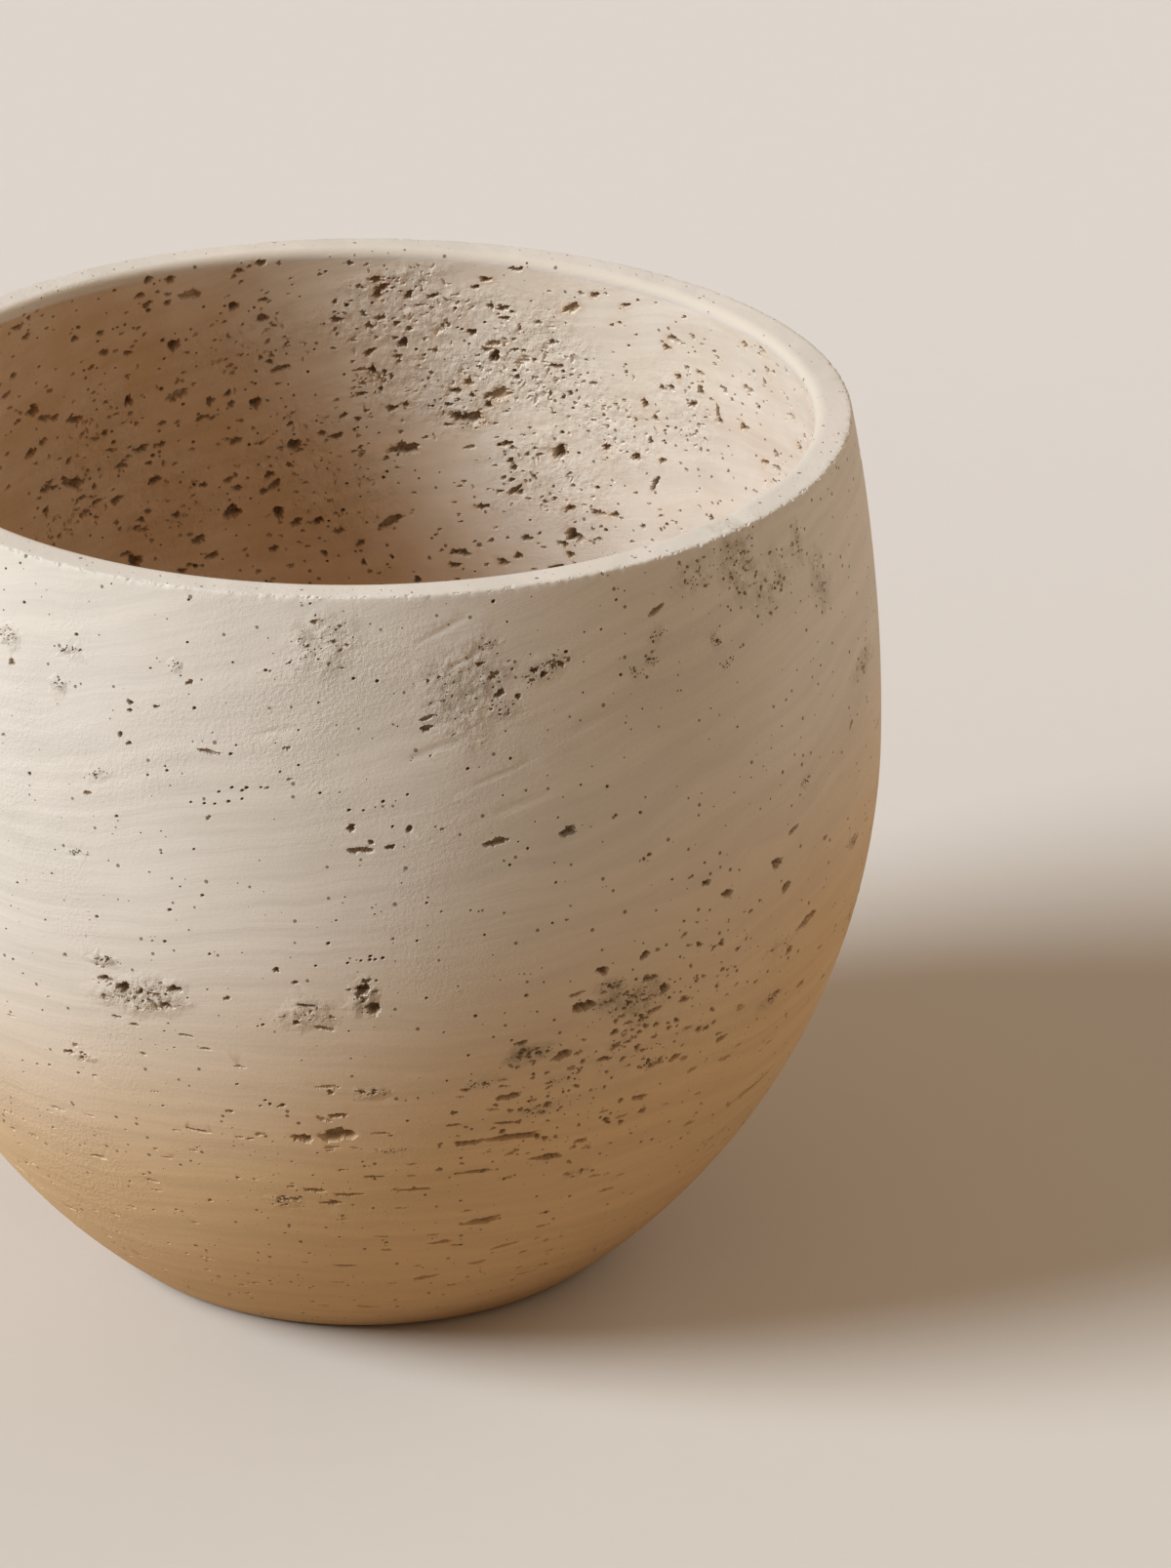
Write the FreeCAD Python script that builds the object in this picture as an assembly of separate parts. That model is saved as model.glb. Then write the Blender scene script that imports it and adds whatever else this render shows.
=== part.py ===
import FreeCAD, Part
import math
import os

# Flower pot of pitted stone: a wide egg-shaped bowl with an open mouth and a flat rim.
# It stands on rubber pads and drains through a lined hole, which a rubber plug closes from below.
# Sizes are in millimetres. Z runs up the axis of the pot, and the surface it stands on is at zero.

# Pot shell
pot_height = 355.5            # from the surface below to the top of the rim
widest_height = 217.4         # from the surface below to the level of the greatest girth
widest_radius = 210.0
rim_radius = 195.7            # outer edge of the rim
foot_radius = 107.2           # outer edge of the underside
wall = 15.0
floor_thickness = 22.0
lip_radius = 3.5              # rounding of the inner edge of the rim
arris_radius = 1.2            # rounding of the outer edge of the rim
foot_edge_radius = 2.5
inner_corner_radius = 18.0    # where the wall runs into the floor inside

# Foot pads
pad_count = 4
pad_radius = 12.0
pad_thickness = 4.0
pad_proud = 1.5               # how far a pad stands out of the underside
pad_edge_inset = 11.0         # from the edge of the underside to the side of a pad
pad_clearance = 0.2
pad_edge_radius = 0.6

# Drain sleeve
drain_radius = 11.0           # clear bore of the sleeve
sleeve_wall = 2.0
flange_overhang = 7.0         # how far the flange reaches beyond the tube
flange_thickness = 2.0
flange_sink = 1.2             # how deep the flange is let into the floor
flange_edge_radius = 0.5
bedding_gap = 0.15            # bonded joint between the sleeve and the stone

# Drain plug
plug_head_overhang = 6.0      # how far the head reaches beyond the drain bore
plug_head_thickness = 4.0
plug_head_edge_radius = 0.8
plug_clearance = 0.1          # between the crest of a rib and the bore
plug_stop_short = 3.0         # how far the shank ends below the top of the sleeve
plug_rib_count = 3
plug_rib_height = 0.9
plug_grip_height = 3.0
plug_grip_width = 5.0
plug_grip_inset = 2.0         # from the edge of the head to the end of the grip
well_clearance = 3.0          # room for fingertips round the head
well_headroom = 0.8           # from the underside of the pot up to the grip
seat_gap = 0.2

# Drain screen
screen_margin = 14.0          # how far the screen reaches beyond the flange
screen_height = 6.0
screen_thickness = 1.6
screen_edge_radius = 1.0
screen_border = 2.6           # plain band between the outer holes and the skirt
screen_hole_radius = 1.8
screen_ring_count = 4
screen_holes_per_step = 6     # holes that each ring has more than the ring inside it
screen_notch_count = 12
screen_notch_width = 4.0
screen_notch_height = 2.5

# Shares
rib_land_share = 0.2          # of the spacing of the ribs: straight crest
rib_slope_share = 0.5         # of the spacing of the ribs: lead-in above the crest
round_share = 0.45            # largest rounding, as a share of the wall that carries it

# Cuts run past what they cut by this much
overrun = 1.0

# Levels and radii that follow from the sizes above
underside = pad_proud
floor_top = underside + floor_thickness
well_depth = seat_gap + plug_head_thickness + plug_grip_height + well_headroom
well_top = underside + well_depth
sleeve_radius = drain_radius + sleeve_wall
flange_radius = sleeve_radius + flange_overhang
flange_bottom = floor_top - flange_sink
flange_top = flange_bottom + flange_thickness
plug_head_radius = drain_radius + plug_head_overhang
plug_head_top = well_top - seat_gap
well_radius = plug_head_radius + well_clearance
screen_radius = flange_radius + screen_margin
screen_bottom = floor_top + seat_gap
screen_top = screen_bottom + screen_height
pad_circle_radius = foot_radius - pad_edge_inset - pad_radius

up = FreeCAD.Vector(0, 0, 1)
origin = FreeCAD.Vector(0, 0, 0)


def at(radius, height):
    """Point of an outline in the plane that is turned about the axis."""
    return FreeCAD.Vector(radius, 0, height)


def turned(wire):
    """Solid turned about the axis from a closed outline."""
    return Part.Face(wire).revolve(origin, up, 360)


def turned_outline(points):
    """Solid turned about the axis from the corners of a straight-sided outline."""
    corners = [at(radius, height) for radius, height in points]
    return turned(Part.makePolygon(corners + corners[:1]))


def drum(radius, bottom, top, centre=(0, 0)):
    """Upright cylinder between two levels."""
    base = FreeCAD.Vector(centre[0], centre[1], bottom)
    return Part.makeCylinder(radius, top - bottom, base, up)


def on_circle(radius, index, count, turn_share=0):
    """Place of one of several things spaced evenly on a circle about the axis."""
    angle = 2 * math.pi * (index + turn_share) / count
    return radius * math.cos(angle), radius * math.sin(angle)


def rounded_ring(solid, radius, height, rounding):
    """The solid with its round edge of that radius and height filleted."""
    rings = [edge for edge in solid.Edges if isinstance(edge.Curve, Part.Circle)]

    def miss(edge):
        return abs(edge.Curve.Radius - radius) + abs(edge.Curve.Center.z - height)

    return solid.makeFillet(rounding, [min(rings, key=miss)])


def belly_arc_radius(rise, inset):
    """Radius of the arc that leaves the widest level upright and comes in by inset over rise."""
    return (rise ** 2 + inset ** 2) / (2 * inset)


def belly_arc(arc_radius, centre_radius, start, end):
    """Edge of a wall between two heights, on an arc whose centre lies at the widest level."""
    angles = [math.asin((height - widest_height) / arc_radius) for height in (start, end)]
    angles.insert(1, sum(angles) / 2)
    points = []
    for angle in angles:
        reach = centre_radius + arc_radius * math.cos(angle)
        points.append(at(reach, widest_height + arc_radius * math.sin(angle)))
    return Part.Arc(*points).toShape()


def pad_centres():
    """Centres of the foot pads, on the diagonals."""
    return [on_circle(pad_circle_radius, index, pad_count, 1 / 2) for index in range(pad_count)]


def make_pot_shell():
    """Bowl of two tangent arcs with an even wall, holed for the drain and let in for the pads."""
    upper = belly_arc_radius(pot_height - widest_height, widest_radius - rim_radius)
    lower = belly_arc_radius(widest_height - underside, widest_radius - foot_radius)
    upper_centre = widest_radius - upper
    lower_centre = widest_radius - lower
    outside = [
        belly_arc(lower, lower_centre, underside, widest_height),
        belly_arc(upper, upper_centre, widest_height, pot_height),
    ]
    inside = [
        belly_arc(upper - wall, upper_centre, pot_height, widest_height),
        belly_arc(lower - wall, lower_centre, widest_height, floor_top),
    ]
    mouth = inside[0].Vertexes[0].Point
    corner = inside[1].Vertexes[-1].Point
    rim = Part.makeLine(outside[1].Vertexes[-1].Point, mouth)
    base_corners = [corner, at(0, floor_top), at(0, underside), at(foot_radius, underside)]
    base = Part.makePolygon(base_corners).Edges
    shell = turned(Part.Wire(outside + [rim] + inside + base))
    most = wall * round_share
    shell = rounded_ring(shell, mouth.x, pot_height, min(lip_radius, most))
    shell = rounded_ring(shell, rim_radius, pot_height, min(arris_radius, most))
    shell = rounded_ring(shell, foot_radius, underside, min(foot_edge_radius, most))
    shell = rounded_ring(shell, corner.x, floor_top, inner_corner_radius)
    cuts = [
        drum(sleeve_radius + bedding_gap, underside - overrun, floor_top + overrun),
        drum(flange_radius + bedding_gap, flange_bottom, floor_top + overrun),
        drum(well_radius, underside - overrun, well_top),
    ]
    for centre in pad_centres():
        cuts.append(drum(pad_radius + pad_clearance, underside - overrun, pad_thickness, centre))
    return shell.cut(cuts)


def make_drain_sleeve():
    """Bush through the floor, with a flange let into the floor inside."""
    flange = drum(flange_radius, flange_bottom, flange_top)
    flange = rounded_ring(flange, flange_radius, flange_top, flange_edge_radius)
    sleeve = flange.fuse(drum(sleeve_radius, well_top, flange_bottom))
    return sleeve.cut(drum(drain_radius, well_top - overrun, flange_top + overrun)).removeSplitter()


def make_drain_plug():
    """Stopper with sealing ribs on its shank, a broad head and a grip bar under the head."""
    shank_top = flange_top - plug_stop_short
    crest = drain_radius - plug_clearance
    core = crest - plug_rib_height
    spacing = (shank_top - plug_head_top) / (plug_rib_count + 1)
    outline = [(0, plug_head_top), (core, plug_head_top)]
    for index in range(plug_rib_count):
        level = plug_head_top + spacing * (index + 1 / 2)
        land_top = level + spacing * rib_land_share
        outline += [(core, level), (crest, level), (crest, land_top)]
        outline.append((core, land_top + spacing * rib_slope_share))
    outline += [(core, shank_top - plug_rib_height), (core - plug_rib_height, shank_top), (0, shank_top)]
    head_bottom = plug_head_top - plug_head_thickness
    head = drum(plug_head_radius, head_bottom, plug_head_top)
    head = rounded_ring(head, plug_head_radius, head_bottom, plug_head_edge_radius)
    grip_length = 2 * (plug_head_radius - plug_grip_inset)
    grip_corner = FreeCAD.Vector(-grip_length / 2, -plug_grip_width / 2, head_bottom - plug_grip_height)
    grip = Part.makeBox(grip_length, plug_grip_width, plug_grip_height, grip_corner)
    return head.fuse([turned_outline(outline), grip]).removeSplitter()


def make_drain_screen():
    """Shallow cap that stands on the floor over the flange, pierced and notched for the water."""
    skirt_inside = screen_radius - screen_thickness
    cap = drum(screen_radius, screen_bottom, screen_top)
    cap = rounded_ring(cap, screen_radius, screen_top, screen_edge_radius)
    plate_bottom = screen_top - screen_thickness
    cuts = [drum(skirt_inside, screen_bottom - overrun, plate_bottom)]
    cuts.append(drum(screen_hole_radius, screen_bottom, screen_top + overrun))
    ring_pitch = (skirt_inside - screen_border - screen_hole_radius) / screen_ring_count
    for ring in range(1, screen_ring_count + 1):
        count = ring * screen_holes_per_step
        for index in range(count):
            centre = on_circle(ring * ring_pitch, index, count)
            cuts.append(drum(screen_hole_radius, screen_bottom, screen_top + overrun, centre))
    notch_corner = FreeCAD.Vector(0, -screen_notch_width / 2, screen_bottom - overrun)
    notch_reach = screen_radius + overrun
    for index in range(screen_notch_count):
        notch = Part.makeBox(notch_reach, screen_notch_width, screen_notch_height + overrun, notch_corner)
        notch.rotate(origin, up, 360 * index / screen_notch_count)
        cuts.append(notch)
    return cap.cut(cuts)


def make_foot_pad(centre):
    """Round pad let into the underside, with its lower edge eased."""
    pad = drum(pad_radius, 0, pad_thickness, centre)
    return rounded_ring(pad, pad_radius, 0, pad_edge_radius)


pieces = {
    "pot_shell": make_pot_shell(),
    "drain_sleeve": make_drain_sleeve(),
    "drain_plug": make_drain_plug(),
    "drain_screen": make_drain_screen(),
}
for number, place in enumerate(pad_centres(), start=1):
    pieces["foot_pad_" + str(number)] = make_foot_pad(place)

os.makedirs("parts", exist_ok=True)
for name, shape in pieces.items():
    shape.exportStep(os.path.join("parts", name + ".step"))
    print(name, len(shape.Solids), shape.isValid(), round(shape.Volume))
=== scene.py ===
import logging
import math
from dataclasses import dataclass, field
from enum import Enum
from typing import NamedTuple

import bpy
import numpy as np
from mathutils import Matrix, Vector, noise
from mathutils.geometry import delaunay_2d_cdt


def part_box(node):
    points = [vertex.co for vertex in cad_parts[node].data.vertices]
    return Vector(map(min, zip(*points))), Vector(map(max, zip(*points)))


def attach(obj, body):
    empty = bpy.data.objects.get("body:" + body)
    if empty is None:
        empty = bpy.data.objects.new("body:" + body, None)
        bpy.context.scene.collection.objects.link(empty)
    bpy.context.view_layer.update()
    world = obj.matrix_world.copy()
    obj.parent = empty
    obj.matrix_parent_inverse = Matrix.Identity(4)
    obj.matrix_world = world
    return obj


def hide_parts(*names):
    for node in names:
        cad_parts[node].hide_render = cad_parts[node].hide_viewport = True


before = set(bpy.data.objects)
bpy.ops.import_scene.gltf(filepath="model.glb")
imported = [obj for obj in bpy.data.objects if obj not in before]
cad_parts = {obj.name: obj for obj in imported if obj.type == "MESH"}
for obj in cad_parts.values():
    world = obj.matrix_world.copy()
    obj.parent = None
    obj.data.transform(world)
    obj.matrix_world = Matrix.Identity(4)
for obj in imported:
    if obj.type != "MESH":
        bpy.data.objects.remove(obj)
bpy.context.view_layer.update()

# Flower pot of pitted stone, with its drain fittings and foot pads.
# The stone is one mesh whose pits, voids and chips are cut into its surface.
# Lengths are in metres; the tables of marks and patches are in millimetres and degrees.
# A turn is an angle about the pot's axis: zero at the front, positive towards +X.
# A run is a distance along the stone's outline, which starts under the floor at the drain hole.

log = logging.getLogger("flower_pot")

Colour = tuple[float, float, float]
Point = tuple[float, float]

SEED = 4127
WHOLE_TURN = 2 * math.pi
MM_PER_M = 1000
PAD_COUNT = 4
PAD_NODES = tuple(f"foot_pad_{number}" for number in range(1, PAD_COUNT + 1))
GRAIN_RANGE: Point = (0.3, 0.7)


class Zone(Enum):
    """Stretches of the stone's outline, in the order in which it runs."""

    WELL_ROOF = "well roof"
    WELL_WALL = "well wall"
    UNDERSIDE = "underside"
    FOOT_EDGE = "foot edge"
    OUTSIDE = "outside"
    ARRIS = "outer edge of the rim"
    RIM = "rim"
    LIP = "inner edge of the rim"
    INSIDE = "inside"
    CORNER = "inner corner"
    FLOOR = "floor"
    SEAT_WALL = "side of the flange seat"
    SEAT = "flange seat"
    HOLE = "drain hole"


FLAT_ZONES = {Zone.UNDERSIDE, Zone.RIM, Zone.FLOOR}
FINE_ZONES = {Zone.ARRIS, Zone.RIM, Zone.LIP}


class VoidKind(Enum):
    """Sorts of hollow: share of the sloping side, raggedness, how much darker the bottom is painted and
    roughness of the floor.
    """

    PINHOLE = (0.5, 0.10, 1.0, 0.0)
    PIT = (0.45, 0.42, 0.74, 0.4)
    LENS = (0.28, 0.38, 0.48, 0.55)
    GROOVE = (0.8, 0.40, 0.26, 0.3)
    CHIP = (0.85, 0.35, 0.03, 0.3)
    SCRAPE = (1.0, 0.25, 0.04, 0.3)
    RECESS = (0.004, 0.0, 0.0, 0.0)

    @property
    def side_share(self) -> float:
        """Share of the half width over which the hollow gets to its full depth."""
        return self.value[0]

    @property
    def raggedness(self) -> float:
        """How far the edge strays from an ellipse, as a share of its size."""
        return self.value[1]

    @property
    def bottom_darkening(self) -> float:
        """How much darker and browner the bottom is painted, from zero to one."""
        return self.value[2]

    @property
    def floor_roughness(self) -> float:
        """How uneven the bottom is, as a share of the depth."""
        return self.value[3]


@dataclass
class Outline:
    """Closed outline of the stone in the plane that is turned about the axis.

    It starts under the floor at the drain hole and runs out over the underside, up the outside,
    over the rim, down the inside and back through the hole.
    """

    height: float
    widest_radius: float
    underside: float
    widest_height: float = 0.2174
    rim_radius: float = 0.1957
    foot_radius: float = 0.1072
    wall: float = 0.015
    floor_thickness: float = 0.022
    lip_radius: float = 0.0035
    arris_radius: float = 0.0012
    foot_edge_radius: float = 0.0025
    inner_corner_radius: float = 0.018
    hole_radius: float = 0.01315
    seat_radius: float = 0.02015
    seat_depth: float = 0.0012
    well_radius: float = 0.020
    well_depth: float = 0.008
    sample_step: float = 0.0002
    fewest_in_arc: int = 4
    fewest_in_line: int = 2
    spans: dict[Zone, Point] = field(default_factory=dict)

    def __post_init__(self) -> None:
        """Samples the stretches and works out lengths, normals and the angle-true coordinate."""
        runs: list[np.ndarray] = []
        start = 0.0
        for zone, points in self._stretches():
            length = float(np.hypot(*np.diff(points, axis=0).T).sum())
            first, _ = self.spans.get(zone, (start, start))
            self.spans[zone] = (first, start + length)
            runs.append(points if not runs else points[1:])
            start += length
        path = np.concatenate(runs)
        steps = np.hypot(*np.diff(path, axis=0).T)
        self.along = np.concatenate([[0.0], np.cumsum(steps)])
        self.radius, self.level = path.T
        tangent = np.gradient(path, axis=0)
        tangent /= np.hypot(*tangent.T)[:, None]
        self.normal_out, self.normal_up = tangent[:, 1], -tangent[:, 0]
        mean = 0.5 * (self.radius[1:] + self.radius[:-1])
        self.angle_true = np.concatenate([[0.0], np.cumsum(steps / mean)])

    def _reach(self, centre: float, radius: float, level: float) -> float:
        """Radius at a level of an arc whose centre lies at the widest level."""
        return centre + math.sqrt(radius ** 2 - (level - self.widest_height) ** 2)

    def _arc(self, centre: Point, radius: float, start: float, end: float) -> np.ndarray:
        """Points of an arc.

        Args:
            centre: centre of the arc.
            radius: its radius.
            start: angle of its first point, in radians from the level.
            end: angle of its last point.

        Returns:
            Rows of radius and level.
        """
        count = max(self.fewest_in_arc, int(abs(end - start) * radius / self.sample_step))
        angles = np.linspace(start, end, count + 1)
        return np.stack([centre[0] + radius * np.cos(angles), centre[1] + radius * np.sin(angles)], 1)

    def _line(self, start: Point, end: Point) -> np.ndarray:
        """Points of a straight stretch."""
        count = max(self.fewest_in_line, int(math.dist(start, end) / self.sample_step))
        share = np.linspace(0.0, 1.0, count + 1)[:, None]
        return np.array(start) * (1 - share) + np.array(end) * share

    def _belly(self, rise: float, inset: float) -> float:
        """Radius of the arc that leaves the widest level upright and comes in by inset over rise."""
        return (rise ** 2 + inset ** 2) / (2 * inset)

    def _fillet(self, centre: float, radius: float, level: float) -> tuple[Point, float]:
        """Centre of a rounding that touches a wall arc, and its angle seen from that arc."""
        place = (self._reach(centre, radius, level), level)
        return place, math.atan2(level - self.widest_height, place[0] - centre)

    def _stretches(self) -> list[tuple[Zone, np.ndarray]]:
        """All stretches of the outline.

        Returns:
            Pairs of a zone and its points; a zone may have two arcs that follow each other.
        """
        floor = self.underside + self.floor_thickness
        well_top = self.underside + self.well_depth
        seat = floor - self.seat_depth
        upper = self._belly(self.height - self.widest_height, self.widest_radius - self.rim_radius)
        lower = self._belly(self.widest_height - self.underside, self.widest_radius - self.foot_radius)
        up_c, low_c = self.widest_radius - upper, self.widest_radius - lower
        up_mid, low_mid = (up_c, self.widest_height), (low_c, self.widest_height)
        edge, bend = self.foot_edge_radius, self.inner_corner_radius
        foot, foot_angle = self._fillet(low_c, lower - edge, self.underside + edge)
        arris, arris_angle = self._fillet(up_c, upper - self.arris_radius, self.height - self.arris_radius)
        lip_reach = upper - self.wall + self.lip_radius
        lip, lip_angle = self._fillet(up_c, lip_reach, self.height - self.lip_radius)
        corner, corner_angle = self._fillet(low_c, lower - self.wall - bend, floor + bend)
        quarter = math.pi / 2
        return [
            (Zone.WELL_ROOF, self._line((self.hole_radius, well_top), (self.well_radius, well_top))),
            (Zone.WELL_WALL, self._line((self.well_radius, well_top), (self.well_radius, self.underside))),
            (Zone.UNDERSIDE, self._line((self.well_radius, self.underside), (foot[0], self.underside))),
            (Zone.FOOT_EDGE, self._arc(foot, edge, -quarter, foot_angle)),
            (Zone.OUTSIDE, self._arc(low_mid, lower, foot_angle, 0.0)),
            (Zone.OUTSIDE, self._arc(up_mid, upper, 0.0, arris_angle)),
            (Zone.ARRIS, self._arc(arris, self.arris_radius, arris_angle, quarter)),
            (Zone.RIM, self._line((arris[0], self.height), (lip[0], self.height))),
            (Zone.LIP, self._arc(lip, self.lip_radius, quarter, lip_angle + math.pi)),
            (Zone.INSIDE, self._arc(up_mid, upper - self.wall, lip_angle, 0.0)),
            (Zone.INSIDE, self._arc(low_mid, lower - self.wall, 0.0, corner_angle)),
            (Zone.CORNER, self._arc(corner, bend, corner_angle, -quarter)),
            (Zone.FLOOR, self._line((corner[0], floor), (self.seat_radius, floor))),
            (Zone.SEAT_WALL, self._line((self.seat_radius, floor), (self.seat_radius, seat))),
            (Zone.SEAT, self._line((self.seat_radius, seat), (self.hole_radius, seat))),
            (Zone.HOLE, self._line((self.hole_radius, seat), (self.hole_radius, well_top))),
        ]

    def radius_at(self, run: np.ndarray | float) -> np.ndarray:
        """Radius at a distance along the outline."""
        return np.interp(run, self.along, self.radius)

    def level_at(self, run: np.ndarray | float) -> np.ndarray:
        """Height at a distance along the outline."""
        return np.interp(run, self.along, self.level)

    def angle_true_at(self, run: np.ndarray | float) -> np.ndarray:
        """Coordinate that keeps angles true when it is drawn against the turn."""
        return np.interp(run, self.along, self.angle_true)

    def surface(self, turn: np.ndarray, run: np.ndarray) -> tuple[np.ndarray, np.ndarray]:
        """Points of the smooth surface and their outward normals.

        Args:
            turn: angles about the axis.
            run: distances along the outline.

        Returns:
            Two arrays of rows of x, y and z.
        """
        radius = self.radius_at(run)
        out = np.interp(run, self.along, self.normal_out)
        up = np.interp(run, self.along, self.normal_up)
        side, front = np.sin(turn), -np.cos(turn)
        return (
            np.stack([radius * side, radius * front, self.level_at(run)], 1),
            np.stack([out * side, out * front, up], 1),
        )

    def run_at_height(self, zone: Zone, level: float) -> float:
        """Distance along the outline at which a wall has a given height.

        Args:
            zone: the outside or the inside.
            level: the height.

        Returns:
            The distance along the outline.
        """
        first, last = np.searchsorted(self.along, self.spans[zone])
        heights, runs = self.level[first:last], self.along[first:last]
        if heights[0] > heights[-1]:
            heights, runs = heights[::-1], runs[::-1]
        return float(np.interp(level, heights, runs))

    def run_at_share(self, zone: Zone, share: float) -> float:
        """Distance along the outline at a share of a zone's length."""
        first, last = self.spans[zone]
        return first + (last - first) * share

    def zone_at(self, run: float) -> Zone:
        """Zone that holds a distance along the outline."""
        return next(zone for zone, (first, last) in self.spans.items() if first <= run <= last)


@dataclass(frozen=True)
class Bedding:
    """How the stone's beds slope up to the right: less low down, and more above."""

    slope_low: float = 0.03
    slope_high: float = 0.28
    level_low: float = 0.16
    level_high: float = 0.30

    def slope_at(self, level: float) -> float:
        """Slope at a height, which changes smoothly between the two levels."""
        rise = (level - self.level_low) / (self.level_high - self.level_low)
        share = min(max(rise, 0.0), 1.0)
        return self.slope_low + (self.slope_high - self.slope_low) * share * share * (3 - 2 * share)


BEDDING = Bedding()


@dataclass
class Void:
    """One hollow in the surface: an ellipse with a ragged edge, cut in along the normal."""

    kind: VoidKind
    turn: float
    run: float
    half_length: float
    half_width: float
    depth: float
    slant: float
    phases: np.ndarray
    halo: bool = False

    ragged_waves = np.array([2.0, 3.0, 5.0, 8.0])
    ragged_weights = np.array([0.45, 0.35, 0.30, 0.20])
    fine_spacing = 0.00046
    coarse_spacing = 0.0011
    spacing_share = 0.55
    guard_share = 1.22
    halo_share = 2.0
    least_share = 0.04
    fewest_in_ring = 6

    def edge(self, angle: np.ndarray) -> np.ndarray:
        """How far the edge lies from the centre at each angle, as a share of the ellipse."""
        waves = np.cos(np.multiply.outer(angle, self.ragged_waves) + self.phases)
        return 1.0 + self.kind.raggedness * waves @ self.ragged_weights

    def ring_shares(self) -> list[float]:
        """Sizes of the rings of mesh points, as shares of the edge, from the outermost in."""
        side = self.kind.side_share
        if self.kind is VoidKind.PINHOLE:
            return [1.0, 1.0 - side]
        shares = [self.guard_share, 1.0, 1.0 - 0.5 * side]
        if self.halo:
            shares.insert(0, self.halo_share)
        if self.half_width > self.coarse_spacing:
            shares += [1.0 - side, 0.5 * (1.0 - side)]
        return [share for share in shares if share > self.least_share]

    def rings(self) -> np.ndarray:
        """Mesh points of the hollow in its own plane, ring by ring.

        Returns:
            Rows of distances along and across the bedding.
        """
        spacing = max(self.spacing_share * self.half_width, self.fine_spacing)
        spacing = min(spacing, self.coarse_spacing)
        girth = WHOLE_TURN * math.sqrt(0.5 * (self.half_length ** 2 + self.half_width ** 2))
        rows = [np.zeros((1, 2))]
        for number, share in enumerate(self.ring_shares()):
            count = max(self.fewest_in_ring, round(girth * min(share, 1.0 / share) / spacing))
            angle = WHOLE_TURN * (np.arange(count) + 0.5 * (number % 2)) / count
            reach = share * self.edge(angle)
            rows.append(np.stack([reach * self.half_length * np.cos(angle),
                                  reach * self.half_width * np.sin(angle)], 1))
        cos, sin = math.cos(self.slant), math.sin(self.slant)
        return np.concatenate(rows) @ np.array([[cos, sin], [-sin, cos]])

    def share_at(self, across: np.ndarray, up: np.ndarray) -> np.ndarray:
        """Place of points in the hollow: zero at its middle, one at its edge."""
        cos, sin = math.cos(self.slant), math.sin(self.slant)
        long = (across * cos + up * sin) / self.half_length
        short = (up * cos - across * sin) / self.half_width
        return np.hypot(long, short) / self.edge(np.arctan2(short, long))


class Mark(NamedTuple):
    """A hollow at a known place: turn in degrees, then millimetres, and its slant in degrees."""

    turn: float
    height: float
    length: float
    width: float
    slant: float = 0.0


class Patch(NamedTuple):
    """A worn patch of small hollows: turn in degrees, then millimetres, their number and the wear."""

    turn: float
    height: float
    length: float
    width: float
    count: int
    largest: float
    wear: float = 0.6


OUTSIDE_LENSES = (
    Mark(0, 258, 9.5, 3.2, -14), Mark(14, 258, 10.0, 3.6, -8), Mark(22, 258, 6.8, 5.2, -8),
    Mark(-16, 294, 9.0, 2.0, -26), Mark(34, 336, 9.0, 2.2, 16), Mark(7, 309, 7.0, 1.8, 2),
    Mark(7, 305, 5.4, 2.8, -12), Mark(42, 214, 7.0, 3.4), Mark(50, 217, 8.0, 4.0, 6),
    Mark(53, 227, 8.0, 2.0, 6), Mark(52, 204, 7.0, 3.6, 20), Mark(57, 182, 15.0, 3.2, 12),
    Mark(67, 252, 6.0, 1.8, 30), Mark(69, 198, 8.0, 2.0, 20), Mark(-21, 187, 5.6, 3.0, -8),
    Mark(-19, 175, 6.0, 1.7, -6), Mark(-17, 170, 5.0, 1.4), Mark(-25, 176, 5.0, 1.7, -6),
    Mark(-6, 193, 7.5, 1.8, -10), Mark(-4, 183, 8.5, 1.8, -12), Mark(-38, 123, 7.0, 2.2, -6),
    Mark(-15, 141, 4.0, 1.8), Mark(-19, 129, 10.0, 1.9, -6), Mark(-34, 102, 8.0, 2.6, -4),
    Mark(-27, 96, 6.5, 1.8, -6), Mark(-13, 128, 4.4, 1.4), Mark(-7, 130, 8.0, 5.0, -4),
    Mark(-3, 132, 15.0, 7.6, -4), Mark(-3, 142, 7.5, 2.8), Mark(-6, 102, 10.0, 2.4, -6),
    Mark(-2, 100, 11.0, 2.6, 2), Mark(-4, 95, 10.0, 2.2, 4), Mark(1, 110, 8.0, 1.8),
    Mark(6, 102, 13.0, 1.6), Mark(24, 183, 9.5, 5.2), Mark(22, 162, 9.0, 4.2, 4),
    Mark(17, 171, 5.6, 2.4), Mark(23, 189, 6.5, 2.0, 6), Mark(32, 188, 7.0, 2.6, 4),
    Mark(33, 173, 6.5, 2.4, 6), Mark(37, 173, 5.5, 2.0), Mark(27, 156, 5.6, 2.4, 6),
    Mark(37, 146, 6.5, 2.8, 8), Mark(44, 146, 5.6, 3.2, 8), Mark(16, 146, 9.0, 3.6, -4),
    Mark(33, 131, 7.5, 3.0), Mark(17, 125, 21.0, 3.6, -3), Mark(12, 125, 11.0, 3.0, -4),
    Mark(22, 111, 15.0, 3.2, -2), Mark(13, 109, 15.0, 1.9, -4), Mark(26, 116, 5.6, 2.6),
    Mark(16, 133, 8.5, 1.5, -6), Mark(10, 135, 6.0, 1.4, -4), Mark(15, 79, 16.0, 3.8, 2),
    Mark(9, 44, 10.0, 2.8, 8), Mark(56, 105, 30.0, 2.6, 8), Mark(20, 60, 13.0, 1.6, 10),
    Mark(-3, 55, 10.0, 1.6, -2), Mark(59, 150, 6.0, 2.6, 10), Mark(10, 68, 9.0, 1.6),
)

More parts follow.
